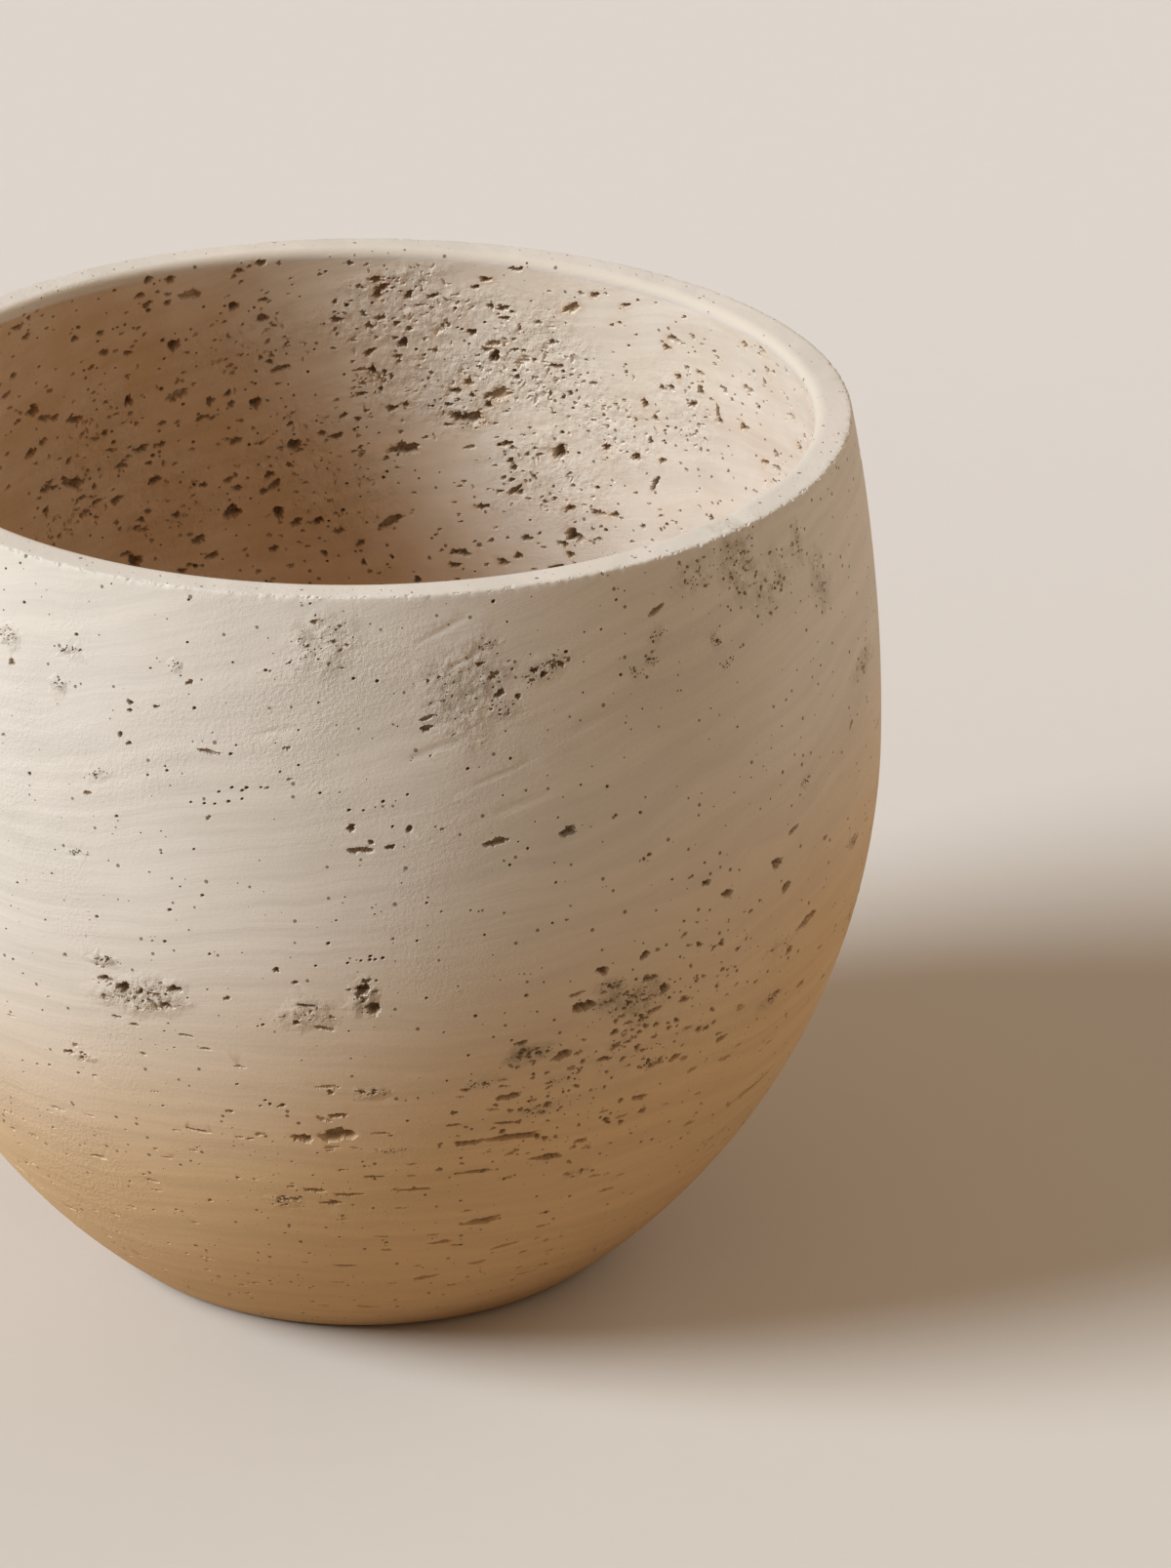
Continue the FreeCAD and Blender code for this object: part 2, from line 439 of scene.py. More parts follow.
OUTSIDE_PITS = (
    Mark(-1, 267, 4.0, 3.4), Mark(1, 261, 2.6, 2.2), Mark(3, 259, 4.2, 2.6), Mark(5, 266, 3.2, 2.8),
    Mark(-28, 194, 7.0, 3.4), Mark(-26, 192, 5.4, 5.0), Mark(-24, 191, 3.0, 2.8),
    Mark(-20, 195, 5.4, 4.4), Mark(-27, 178, 4.4, 2.0), Mark(-34, 155, 5.0, 3.2),
    Mark(-9, 208, 2.2, 3.0), Mark(-7, 203, 2.8, 2.0), Mark(0, 200, 5.0, 5.0), Mark(1, 192, 5.6, 5.6),
    Mark(-7, 185, 3.0, 2.6), Mark(-9, 146, 3.8, 2.2, 22), Mark(26, 197, 6.0, 4.2),
    Mark(31, 199, 5.0, 3.6), Mark(34, 182, 4.0, 5.0), Mark(41, 155, 3.4, 2.6), Mark(34, 123, 3.6, 3.0),
    Mark(29, 124, 3.8, 3.2), Mark(54, 173, 5.4, 3.4, 20), Mark(39, 222, 4.0, 3.6),
    Mark(15, 316, 5.2, 3.2), Mark(17, 314, 2.8, 2.6), Mark(13, 328, 4.2, 1.8), Mark(19, 323, 3.0, 2.6),
    Mark(20, 321, 3.2, 2.8), Mark(22, 324, 3.4, 2.4), Mark(-25, 309, 2.6, 2.6), Mark(-25, 306, 1.9, 1.9),
    Mark(-25, 293, 2.4, 2.2), Mark(-26, 296, 2.4, 2.2), Mark(-22, 309, 1.9, 1.9),
)

OUTSIDE_SCRAPES = (
    Mark(9, 342, 36.0, 3.6, 10), Mark(12, 331, 28.0, 3.4, 8), Mark(8, 297, 34.0, 4.6, 2),
    Mark(-9, 304, 26.0, 3.6), Mark(17, 272, 40.0, 4.4), Mark(26, 300, 44.0, 4.0, 2),
    Mark(38, 285, 40.0, 3.8, 2), Mark(15, 285, 38.0, 3.2, 4), Mark(30, 262, 44.0, 4.2),
)

OUTSIDE_PATCHES = (
    Patch(-4, 338, 25, 20, 28, 2.6, 0.6), Patch(11, 318, 30, 36, 26, 2.6, 0.6),
    Patch(14, 323, 16, 8, 12, 3.0, 0.6), Patch(20, 323, 19, 8, 24, 2.8, 0.5),
    Patch(34, 327, 8, 5, 9, 2.0, 0.5), Patch(33, 318, 7, 5, 9, 2.2, 0.5),
    Patch(31, 315, 6, 6, 9, 1.6, 0.4), Patch(42, 318, 6, 7, 12, 1.8, 0.5),
    Patch(47, 343, 22, 24, 40, 1.9, 0.7), Patch(58, 338, 10, 16, 16, 1.8, 0.4),
    Patch(-24, 190, 36, 14, 36, 3.2, 0.9), Patch(-28, 202, 13, 4, 12, 2.4, 0.5),
    Patch(-32, 155, 10, 4, 9, 3.0, 0.5), Patch(0, 197, 9, 14, 18, 3.4, 0.9),
    Patch(-6, 189, 18, 12, 12, 2.6, 0.7), Patch(18, 165, 18, 9, 30, 3.0, 1.0),
    Patch(30, 181, 32, 15, 44, 3.0, 1.0), Patch(27, 189, 12, 6, 10, 2.8, 0.9),
    Patch(31, 170, 9, 5, 9, 3.4, 0.6), Patch(29, 161, 11, 4, 9, 2.8, 0.5),
    Patch(34, 147, 13, 5, 12, 3.2, 0.5), Patch(13, 154, 16, 6, 12, 2.6, 0.3),
    Patch(22, 150, 15, 5, 12, 3.0, 0.4), Patch(20, 137, 14, 5, 12, 2.8, 0.4),
    Patch(52, 153, 16, 6, 16, 2.8, 0.7), Patch(1, 153, 14, 4, 14, 2.8, 0.6),
    Patch(3, 124, 12, 3, 8, 2.0, 0.3), Patch(-10, 95, 13, 6, 12, 4.0, 0.5),
    Patch(27, 98, 10, 5, 9, 3.4, 0.5), Patch(15, 310, 12, 8, 10, 2.0, 0.6),
    Patch(-41, 323, 10, 7, 14, 2.0, 0.9), Patch(-33, 324, 11, 3, 12, 2.2, 0.6),
    Patch(-34, 310, 7, 5, 9, 1.2, 0.8), Patch(-31, 245, 9, 2, 8, 1.8, 0.3),
    Patch(-20, 326, 5, 4, 7, 1.4, 0.5), Patch(52, 178, 20, 8, 14, 2.4, 0.4),
    Patch(52, 330, 26, 20, 26, 2.4, 0.5), Patch(40, 345, 24, 12, 22, 2.4, 0.5),
    Patch(62, 320, 14, 24, 18, 2.2, 0.6), Patch(22, 135, 84, 60, 70, 3.8, 0.0),
    Patch(-8, 108, 70, 44, 22, 2.8, 0.0), Patch(40, 190, 70, 50, 40, 3.4, 0.0),
    Patch(30, 160, 64, 36, 36, 3.8, 0.2),
)

INSIDE_LENSES = (
    Mark(174, 261, 14.0, 6.5), Mark(128, 306, 9.0, 2.4, 78), Mark(166, 277, 14.0, 6.0, -20),
    Mark(-142, 263, 11.0, 5.0, -30), Mark(-142, 292, 8.0, 4.0, -25), Mark(176, 227, 12.0, 4.0, 20),
    Mark(-170, 300, 8.0, 2.6, 4), Mark(160, 246, 8.0, 3.0, 30), Mark(140, 262, 8.0, 3.0, 50),
)

INSIDE_PITS = (
    Mark(131, 313, 4.6, 5.2), Mark(133, 322, 2.6, 2.8), Mark(154, 266, 5.0, 8.0),
    Mark(152, 229, 9.0, 7.5), Mark(-164, 235, 9.0, 6.0), Mark(-170, 233, 4.0, 6.0),
    Mark(-175, 228, 5.0, 4.0), Mark(-135, 303, 5.0, 6.0), Mark(-156, 317, 5.0, 7.0),
    Mark(-135, 283, 7.0, 4.0), Mark(-164, 332, 5.0, 4.5), Mark(162, 308, 5.5, 5.0),
    Mark(174, 311, 6.0, 5.0), Mark(178, 298, 4.5, 4.0), Mark(-151, 220, 7.0, 6.0),
    Mark(-172, 264, 6.0, 5.0), Mark(-150, 295, 3.6, 6.0), Mark(165, 318, 5.0, 4.0),
    Mark(170, 334, 6.0, 2.6), Mark(-167, 285, 5.0, 4.4),
)

INSIDE_PATCHES = (
    Patch(166, 278, 22, 12, 12, 4.4, 0.8), Patch(174, 324, 80, 26, 34, 4.4, 0.6),
    Patch(158, 308, 64, 44, 40, 4.4, 0.6), Patch(-166, 312, 60, 34, 26, 4.0, 0.5),
    Patch(-145, 280, 60, 46, 30, 4.0, 0.5), Patch(170, 292, 70, 44, 40, 4.4, 0.6),
    Patch(-172, 264, 60, 40, 30, 4.0, 0.5), Patch(146, 284, 46, 40, 24, 3.4, 0.5),
    Patch(-178, 240, 60, 36, 26, 4.0, 0.5), Patch(134, 300, 34, 40, 18, 2.8, 0.4),
    Patch(156, 254, 60, 40, 26, 4.0, 0.5), Patch(-156, 244, 60, 40, 24, 4.0, 0.5),
)


class Scatter(NamedTuple):
    """Chance hollows of one sort over a part of one zone."""

    zone: Zone
    kind: VoidKind
    count: int
    smallest: float
    largest: float
    stretch: float
    depth_share: float
    low: float = 0.0
    high: float = 1.0
    clear_front: bool = False


SCATTERS = (
    Scatter(Zone.OUTSIDE, VoidKind.PINHOLE, 2300, 0.00028, 0.00085, 1.15, 1.6),
    Scatter(Zone.OUTSIDE, VoidKind.PIT, 120, 0.0006, 0.0014, 1.6, 1.1, 0.10, 0.97),
    Scatter(Zone.OUTSIDE, VoidKind.LENS, 360, 0.0006, 0.0011, 3.2, 1.3, 0.06, 0.50),
    Scatter(Zone.OUTSIDE, VoidKind.LENS, 60, 0.0012, 0.0026, 3.2, 1.4, 0.06, 0.62, True),
    Scatter(Zone.INSIDE, VoidKind.PINHOLE, 1100, 0.0005, 0.0012, 1.2, 1.4, 0.0, 0.97),
    Scatter(Zone.INSIDE, VoidKind.PIT, 340, 0.0007, 0.0020, 1.5, 1.0, 0.0, 0.90),
    Scatter(Zone.INSIDE, VoidKind.PIT, 1000, 0.0007, 0.0019, 1.7, 1.4, 0.0, 0.62, True),
    Scatter(Zone.INSIDE, VoidKind.LENS, 40, 0.0011, 0.0024, 2.6, 0.9, 0.03, 0.8),
    Scatter(Zone.INSIDE, VoidKind.PIT, 800, 0.0005, 0.0010, 1.5, 1.2, 0.0, 0.62, True),
    Scatter(Zone.RIM, VoidKind.PINHOLE, 130, 0.0003, 0.0008, 1.2, 1.4, 0.08, 0.92),
    Scatter(Zone.LIP, VoidKind.PINHOLE, 30, 0.0003, 0.0006, 1.1, 1.2, 0.2, 0.9),
    Scatter(Zone.ARRIS, VoidKind.CHIP, 420, 0.0003, 0.0009, 2.0, 0.8, 0.2, 0.8),
)


class PatchScatter(NamedTuple):
    """Chance worn patches over a part of one zone, and the half lengths of them and of their hollows."""

    zone: Zone
    count: int
    shares: Point
    half_lengths: Point
    largest: Point
    clear_front: bool = False


PATCH_SCATTERS = (
    PatchScatter(Zone.OUTSIDE, 30, (0.30, 0.98), (0.0025, 0.0060), (0.0004, 0.0009)),
    PatchScatter(Zone.OUTSIDE, 20, (0.10, 0.96), (0.008, 0.024), (0.0012, 0.0026), True),
    PatchScatter(Zone.INSIDE, 22, (0.02, 0.80), (0.008, 0.024), (0.0012, 0.0026)),
)


@dataclass(frozen=True)
class LobeSizes:
    """How the lobes of a larger hollow are drawn, mostly as shares of its own size."""

    core_length: float = 0.93
    core_width: float = 0.90
    count_share: float = 1.5
    fewest: int = 2
    most: int = 7
    reach: float = 0.8
    widths: Point = (0.45, 0.95)
    taper: float = 0.5
    lengths: Point = (0.18, 0.42)
    aside: float = 0.5
    depths: Point = (0.6, 1.05)
    askew: float = 0.2


@dataclass(frozen=True)
class CrowdSizes:
    """How chance worn patches, and the small hollows of every patch, are drawn."""

    crowding: float = 1.5
    spread: float = 0.5
    farthest: float = 1.1
    smallest_share: float = 0.2
    small_bias: float = 1.9
    widths: Point = (0.42, 0.85)
    least_width: float = 0.00035
    pinhole_below: float = 0.0007
    depths: Point = (1.0, 1.6)
    askew: float = 0.35
    groove_share: float = 0.5
    groove_stretch: float = 1.3
    groove_least: float = 0.0010
    groove_narrowing: float = 0.7
    groove_least_width: float = 0.0008
    worn_length: float = 1.35
    worn_width: float = 1.45
    flatness: Point = (0.3, 0.6)
    least_count: int = 7
    count_per_metre: float = 800
    wears: Point = (0.2, 0.6)


@dataclass(frozen=True)
class DotRowSizes:
    """How rows of pinholes are drawn."""

    rows: int = 36
    shares: Point = (0.1, 0.97)
    counts: tuple[int, int] = (3, 7)
    gaps: Point = (0.0010, 0.0060)
    sizes: Point = (0.00034, 0.00085)
    stray: float = 0.0008
    stretch: float = 1.25
    depth_share: float = 1.4


@dataclass(frozen=True)
class MeshSizes:
    """Steps, reaches and limits of the mesh."""

    wall_step: float = 0.0075
    edge_step: float = 0.0016
    step_growth: float = 0.30
    rim_pitch: float = 0.0015
    edge_pitch_share: float = 1.5
    arris_rows: int = 3
    least_columns: int = 24
    patch_step: float = 0.0017
    patch_jitter: float = 0.35
    patch_grid_reach: float = 1.6
    patch_margin: float = 1.2
    patch_reach: float = 1.5
    clear_reach: float = 2.1
    clear_share: float = 1.32
    cut_reach: float = 1.8
    halo_reach: float = 3.1
    seam_room: float = 2.0
    halo_seam_room: float = 3.2
    seam_margin: float = 0.01
    least_radius_share: float = 0.3
    least_gap: float = 0.00016
    merge_distance: float = 1e-9
    empty_face: float = 1e-12
    turn_digits: float = 1e7
    run_digits: float = 1e8
    sharp_angle: float = math.radians(38)


def chance_waves(places: np.ndarray, shares: np.ndarray, length: float,
                 layers: tuple[Point, ...] = ((1.0, 1.0),)) -> np.ndarray:
    """Sums of smooth noise at the places whose share is above zero.

    Args:
        places: rows of x, y and z.
        shares: one number for each place.
        length: length of a wave of fineness one.
        layers: pairs of a weight and a fineness.

    Returns:
        One sum for each place, and zero where its share is.
    """
    sums = np.zeros(len(places))
    for index in np.flatnonzero(shares > 0):
        base = Vector(places[index] / length)
        sums[index] = sum(weight * noise.noise(base * fineness) for weight, fineness in layers)
    return sums


@dataclass
class StoneSkin:
    """The stone's surface: the hollows in it, and the mesh that carries them."""

    outline: Outline
    lobes: LobeSizes = LobeSizes()
    crowd: CrowdSizes = CrowdSizes()
    dots: DotRowSizes = DotRowSizes()
    mesh: MeshSizes = MeshSizes()
    unevenness: float = 0.0005
    uneven_length: float = 0.055
    arris_wear: float = 0.00045
    arris_reach: float = 0.0020
    arris_length: float = 0.0030
    arris_layers: tuple[Point, ...] = ((1.0, 1.0), (0.6, 2.7), (0.5, 0.15))
    patch_relief: float = 0.0010
    patch_grain: float = 0.0030
    patch_layers: tuple[Point, ...] = ((1.0, 1.0), (0.5, 2.3))
    patch_depths: Point = (0.3, 0.7)
    floor_grain: float = 0.0011
    side_power: float = 0.7
    wear_slope: float = 1.8
    front_turn: float = math.radians(64)
    seam_turn: float = math.radians(-92)
    pad_recess_radius: float = 0.0122
    pad_recess_depth: float = 0.0025
    deepest: float = 0.0044
    mark_depth_share: float = 1.7
    scrape_depth: float = 0.0004
    lobed_width: float = 0.0012
    halo_width: float = 0.0013
    small_bias: float = 2.2
    stretch_shares: Point = (0.3, 1.5)
    slant_stray: float = 0.12
    voids: list[Void] = field(default_factory=list)
    worn: list[tuple[Void, float]] = field(default_factory=list)

    def __post_init__(self) -> None:
        """Starts the random draws."""
        self.random = np.random.default_rng(SEED)

    def phases(self) -> np.ndarray:
        """Chance phases for the ragged edge of one hollow."""
        return self.random.uniform(0.0, WHOLE_TURN, len(Void.ragged_waves))

    def add(self, kind: VoidKind, turn: float, run: float, half_length: float, half_width: float,
            depth: float, slant: float = 0.0) -> None:
        """Adds one hollow, kept clear of the seam where the mesh closes.

        Args:
            kind: sort of hollow.
            turn: angle about the axis.
            run: distance along the outline.
            half_length: half its size along the bedding.
            half_width: half its size across the bedding.
            depth: how deep it is cut.
            slant: angle of its length to the level.
        """
        halo = kind in (VoidKind.PIT, VoidKind.LENS) and self.within(run) and half_width > self.halo_width
        room = self.mesh.halo_seam_room if halo else self.mesh.seam_room
        reach = room * max(half_length, half_width) / float(self.outline.radius_at(run))
        turn = min(max(self.unrolled(turn), self.seam_turn + reach), self.seam_turn + WHOLE_TURN - reach)
        void = Void(kind, turn, run, half_length, half_width, depth, slant, self.phases(), halo)
        self.voids.append(void)

    def unrolled(self, turn: float) -> float:
        """Angle as it is on the flat sheet, which is cut open at the seam."""
        return self.seam_turn + (turn - self.seam_turn) % WHOLE_TURN

    def within(self, run: float) -> bool:
        """Whether a distance along the outline lies inside the pot."""
        return run > self.outline.spans[Zone.INSIDE][0]

    def shifted(self, turn: float, run: float, along: float, aside: float, slant: float) -> Point:
        """Place that lies some way along and some way across a slanting line from another."""
        across = along * math.cos(slant) - aside * math.sin(slant)
        up = along * math.sin(slant) + aside * math.cos(slant)
        return turn + across / float(self.outline.radius_at(run)), run + up

    def bedding_slant(self, turn: float, run: float) -> float:
        """Angle of the bedding to the level where it cuts the surface."""
        slope = BEDDING.slope_at(float(self.outline.level_at(run)))
        sign = -1.0 if run > self.outline.spans[Zone.RIM][0] else 1.0
        return sign * math.atan(slope * math.cos(turn))

    def lobed(self, kind: VoidKind, turn: float, run: float, half_length: float, half_width: float,
              depth: float, slant: float) -> None:
        """Adds a larger hollow made of overlapping lobes, so that its edge is ragged.

        Args:
            kind: sort of hollow.
            turn: angle about the axis.
            run: distance along the outline.
            half_length: half its size along the bedding.
            half_width: half its size across the bedding.
            depth: how deep it is cut.
            slant: angle of its length to the level.
        """
        lobes = self.lobes
        self.add(kind, turn, run, lobes.core_length * half_length, lobes.core_width * half_width, depth,
                 slant)
        count = np.clip(lobes.count_share * half_length / half_width, lobes.fewest, lobes.most)
        for _ in range(int(count)):
            place = self.random.uniform(-lobes.reach, lobes.reach)
            width = half_width * self.random.uniform(*lobes.widths) * (1.0 - lobes.taper * abs(place))
            length = max(width, half_length * self.random.uniform(*lobes.lengths))
            aside = half_width * self.random.uniform(-lobes.aside, lobes.aside)
            lobe_turn, lobe_run = self.shifted(turn, run, place * half_length, aside, slant)
            lobe_depth = depth * self.random.uniform(*lobes.depths)
            lobe_slant = slant + self.random.normal(0.0, lobes.askew)
            self.add(kind, lobe_turn, lobe_run, length, width, lobe_depth, lobe_slant)

    def mark(self) -> None:
        """Adds the hollows and worn patches that the photograph shows."""
        tables = (
            (Zone.OUTSIDE, VoidKind.LENS, OUTSIDE_LENSES),
            (Zone.OUTSIDE, VoidKind.PIT, OUTSIDE_PITS),
            (Zone.OUTSIDE, VoidKind.SCRAPE, OUTSIDE_SCRAPES),
            (Zone.INSIDE, VoidKind.LENS, INSIDE_LENSES),
            (Zone.INSIDE, VoidKind.PIT, INSIDE_PITS),
        )
        for zone, kind, marks in tables:
            for spot in marks:
                run = self.outline.run_at_height(zone, spot.height / MM_PER_M)
                turn = math.radians(spot.turn)
                half_length, half_width = spot.length / (2 * MM_PER_M), spot.width / (2 * MM_PER_M)
                slant = self.bedding_slant(turn, run) + math.radians(spot.slant)
                if kind is VoidKind.SCRAPE:
                    self.add(kind, turn, run, half_length, half_width, self.scrape_depth, slant)
                else:
                    depth = min(self.deepest, self.mark_depth_share * half_width)
                    self.lobed(kind, turn, run, half_length, half_width, depth, slant)
        for zone, patches in ((Zone.OUTSIDE, OUTSIDE_PATCHES), (Zone.INSIDE, INSIDE_PATCHES)):
            for patch in patches:
                run = self.outline.run_at_height(zone, patch.height / MM_PER_M)
                halves = (size / (2 * MM_PER_M) for size in (patch.length, patch.width, patch.largest))
                half_length, half_width, largest = halves
                self.cluster(math.radians(patch.turn), run, half_length, half_width, patch.count, largest,
                             patch.wear)

    def cluster(self, turn: float, run: float, half_length: float, half_width: float,
                count: int, largest: float, wear: float) -> None:
        """Adds a worn patch of small hollows that crowd towards its middle.

        Args:
            turn: angle of its middle about the axis.
            run: distance of its middle along the outline.
            half_length: half its size along the bedding.
            half_width: half its size across the bedding.
            count: number of hollows.
            largest: half the length of the largest.
            wear: how worn the patch is, from zero to one.
        """
        crowd = self.crowd
        slant = self.bedding_slant(turn, run)
        for _ in range(round(crowd.crowding * count)):
            spread = np.clip(self.random.normal(0.0, crowd.spread, 2), -crowd.farthest, crowd.farthest)
            along, aside = spread * (half_length, half_width)
            size = largest * self.random.uniform(crowd.smallest_share, 1.0) ** crowd.small_bias
            width = max(crowd.least_width, size * self.random.uniform(*crowd.widths))
            kind = VoidKind.PINHOLE if size < crowd.pinhole_below else VoidKind.PIT
            askew = self.random.normal(0.0, crowd.askew)
            if self.within(run) and self.random.random() < crowd.groove_share:
                kind, askew = VoidKind.GROOVE, self.random.uniform(0.0, math.pi)
                size = crowd.groove_stretch * max(size, crowd.groove_least)
                width = max(crowd.groove_narrowing * width, crowd.groove_least_width)
            void_turn, void_run = self.shifted(turn, run, along, aside, slant)
            depth = width * self.random.uniform(*crowd.depths)
            self.add(kind, void_turn, void_run, max(size, width), width, depth, slant + askew)
        patch = Void(VoidKind.SCRAPE, self.unrolled(turn), run, crowd.worn_length * half_length,
                     crowd.worn_width * half_width, 0.0, slant, self.phases())
        if wear > 0:
            self.worn.append((patch, wear))

    def scatter(self) -> None:
        """Adds the chance hollows, rows of dots and worn patches all round."""
        for sort in SCATTERS:
            self.scatter_sort(sort)
        for _ in range(self.dots.rows):
            share = self.random.uniform(*self.dots.shares)
            self.dot_row(self.free_turn(False), self.outline.run_at_share(Zone.OUTSIDE, share))
        for patches in PATCH_SCATTERS:
            self.scatter_patches(patches)

    def free_turn(self, clear_front: bool) -> float:
        """A chance angle about the axis, away from the front if asked."""
        if clear_front:
            return self.random.uniform(self.front_turn, WHOLE_TURN - self.front_turn)
        return self.random.uniform(-math.pi, math.pi)

    def scatter_sort(self, sort: Scatter) -> None:
        """Adds the chance hollows of one sort; small ones are the commonest."""
        for _ in range(sort.count):
            turn = self.free_turn(sort.clear_front)
            run = self.outline.run_at_share(sort.zone, self.random.uniform(sort.low, sort.high))
            width = sort.smallest + (sort.largest - sort.smallest) * self.random.random() ** self.small_bias
            length = width * (1.0 + (sort.stretch - 1.0) * self.random.uniform(*self.stretch_shares))
            slant = self.bedding_slant(turn, run) + self.random.normal(0.0, self.slant_stray)
            large_lens = sort.kind is VoidKind.LENS and width > self.lobed_width
            make = self.lobed if large_lens else self.add
            make(sort.kind, turn, run, length, width, width * sort.depth_share, slant)

    def dot_row(self, turn: float, run: float) -> None:
        """Adds a row of pinholes along the bedding."""
        dots = self.dots
        slant = self.bedding_slant(turn, run)
        along = 0.0
        for _ in range(self.random.integers(*dots.counts)):
            along += self.random.uniform(*dots.gaps)
            size = self.random.uniform(*dots.sizes)
            dot_turn, dot_run = self.shifted(turn, run, along, self.random.normal(0.0, dots.stray), slant)
            self.add(VoidKind.PINHOLE, dot_turn, dot_run, dots.stretch * size, size,
                     dots.depth_share * size, slant)

    def scatter_patches(self, sort: PatchScatter) -> None:
        """Adds the chance worn patches of one sort."""
        crowd = self.crowd
        for _ in range(sort.count):
            turn = self.free_turn(sort.clear_front)
            run = self.outline.run_at_share(sort.zone, self.random.uniform(*sort.shares))
            half_length = self.random.uniform(*sort.half_lengths)
            half_width = half_length * self.random.uniform(*crowd.flatness)
            number = int(crowd.least_count + half_length * crowd.count_per_metre)
            self.cluster(turn, run, half_length, half_width, number, self.random.uniform(*sort.largest),
                         self.random.uniform(*crowd.wears))

    def let_in_pads(self) -> None:
        """Cuts the round recesses of the foot pads into the underside."""
        for name in PAD_NODES:
            low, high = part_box(name)
            middle = (low + high) / 2
            out = math.hypot(middle.x, middle.y) - self.outline.well_radius
            run = self.outline.spans[Zone.UNDERSIDE][0] + out
            self.add(VoidKind.RECESS, math.atan2(middle.x, -middle.y), run, self.pad_recess_radius,
                     self.pad_recess_radius, self.pad_recess_depth)

    def on_sheet(self, void: Void, across: np.ndarray, up: np.ndarray) -> np.ndarray:
        """Places of points that are given in a hollow's own plane.

        Args:
            void: the hollow.
            across: distances round the pot from its middle.
            up: distances along the outline from its middle.

        Returns:
            Rows of turn and distance along the outline.
        """
        radius = float(self.outline.radius_at(void.run))
        zone = self.outline.zone_at(void.run)
        if zone in FLAT_ZONES:
            sign = 1.0 if zone is Zone.UNDERSIDE else -1.0
            outward = radius + sign * up
            run = void.run + sign * (np.hypot(outward, across) - radius)
            return np.stack([void.turn + np.arctan2(across, outward), run], 1)
        run = void.run + up
        return np.stack([void.turn + across / self.outline.radius_at(run), run], 1)

    def patch_points(self, patch: Void) -> np.ndarray:
        """Close-set points over a worn patch, which let it be rough.

        Args:
            patch: the outline of the patch.

        Returns:
            Rows of turn and distance along the outline.
        """
        step, stray = self.mesh.patch_step, self.mesh.patch_jitter
        reach = self.mesh.patch_grid_reach * max(patch.half_length, patch.half_width)
        line = np.arange(-reach, reach, step)
        across, up = (grid.ravel() for grid in np.meshgrid(line, line))
        across = across + self.random.uniform(-stray, stray, across.shape) * step
        up = up + self.random.uniform(-stray, stray, up.shape) * step
        inside = patch.share_at(across, up) < self.mesh.patch_margin
        places = self.on_sheet(patch, across[inside], up[inside])
        first, last = self.outline.spans[self.outline.zone_at(patch.run)]
        from_seam = places[:, 0] - self.seam_turn
        clear = (places[:, 1] > first) & (places[:, 1] < last)
        margin = self.mesh.seam_margin
        return places[clear & (from_seam > margin) & (from_seam < WHOLE_TURN - margin)]

    def stations(self) -> list[tuple[float, int]]:
        """Rows of the plain mesh: fine at the edges of each zone, wide on the walls.

        Returns:
            Pairs of a distance along the outline and the number of columns there.
        """
        sizes = self.mesh
        rows: list[tuple[float, int]] = []
        for zone, (first, last) in self.outline.spans.items():
            fine = zone in FINE_ZONES
            start = self.outline.arris_radius / sizes.arris_rows if zone is Zone.ARRIS else sizes.edge_step
            limit = sizes.edge_step if fine else sizes.wall_step
            steps = [0.0]
            while steps[-1] < last - first:
                gap = max(0.0, min(steps[-1], last - first - steps[-1]))
                steps.append(steps[-1] + min(limit, start + sizes.step_growth * gap))
            for index, run in enumerate(first + np.array(steps[:-1]) * ((last - first) / steps[-1])):
                gap = min(run - first, last - run)
                pitch = sizes.rim_pitch if fine else min(limit, start + sizes.step_growth * gap)
                if index == 0:
                    pitch = min(pitch, sizes.edge_pitch_share * sizes.rim_pitch)
                girth = WHOLE_TURN * float(self.outline.radius_at(run))
                rows.append((float(run), max(sizes.least_columns, round(girth / pitch))))
        return rows

    def plain_points(self) -> tuple[np.ndarray, np.ndarray]:
        """Points of the plain mesh.

        Returns:
            The points inside the sheet, and those on its four sides, as rows of turn and distance.
        """
        inner, sides = [], []
        rows = self.stations()
        rows.append((float(self.outline.along[-1]), rows[0][1]))
        for number, (run, count) in enumerate(rows):
            turns = self.seam_turn + np.linspace(0.0, WHOLE_TURN, count + 1)
            line = np.stack([turns, np.full(count + 1, run)], 1)
            if number in (0, len(rows) - 1):
                sides.append(line)
            else:
                sides.append(line[[0, -1]])
                inner.append(line[1:-1])
        return np.concatenate(inner), np.concatenate(sides)

    def nearby(self, void: Void, runs: np.ndarray, turns: np.ndarray, reach: float) -> np.ndarray:
        """Numbers of the points, sorted by distance along the outline, that may lie in a hollow.

        Args:
            void: the hollow.
            runs: sorted distances along the outline.
            turns: angles of the same points.
            reach: how far from its middle to look, as a share of its half length.

        Returns:
            The numbers.
        """
        far = reach * max(void.half_length, void.half_width)
        first, last = np.searchsorted(runs, (void.run - far, void.run + far))
        window = np.arange(first, last)
        radius = float(self.outline.radius_at(void.run))
        arm = max(radius - far, self.mesh.least_radius_share * radius)
        return window[np.abs(turns[first:last] - void.turn) * arm < far]

    def shares(self, void: Void, turns: np.ndarray, runs: np.ndarray) -> np.ndarray:
        """Place in a hollow of points of the smooth surface: zero in the middle, one at the edge."""
        points, _ = self.outline.surface(turns, runs)
        centre, normal = self.middle(void)
        round_way = np.array([math.cos(void.turn), math.sin(void.turn), 0.0])
        offset = points - centre
        return void.share_at(offset @ round_way, offset @ np.cross(normal, round_way))

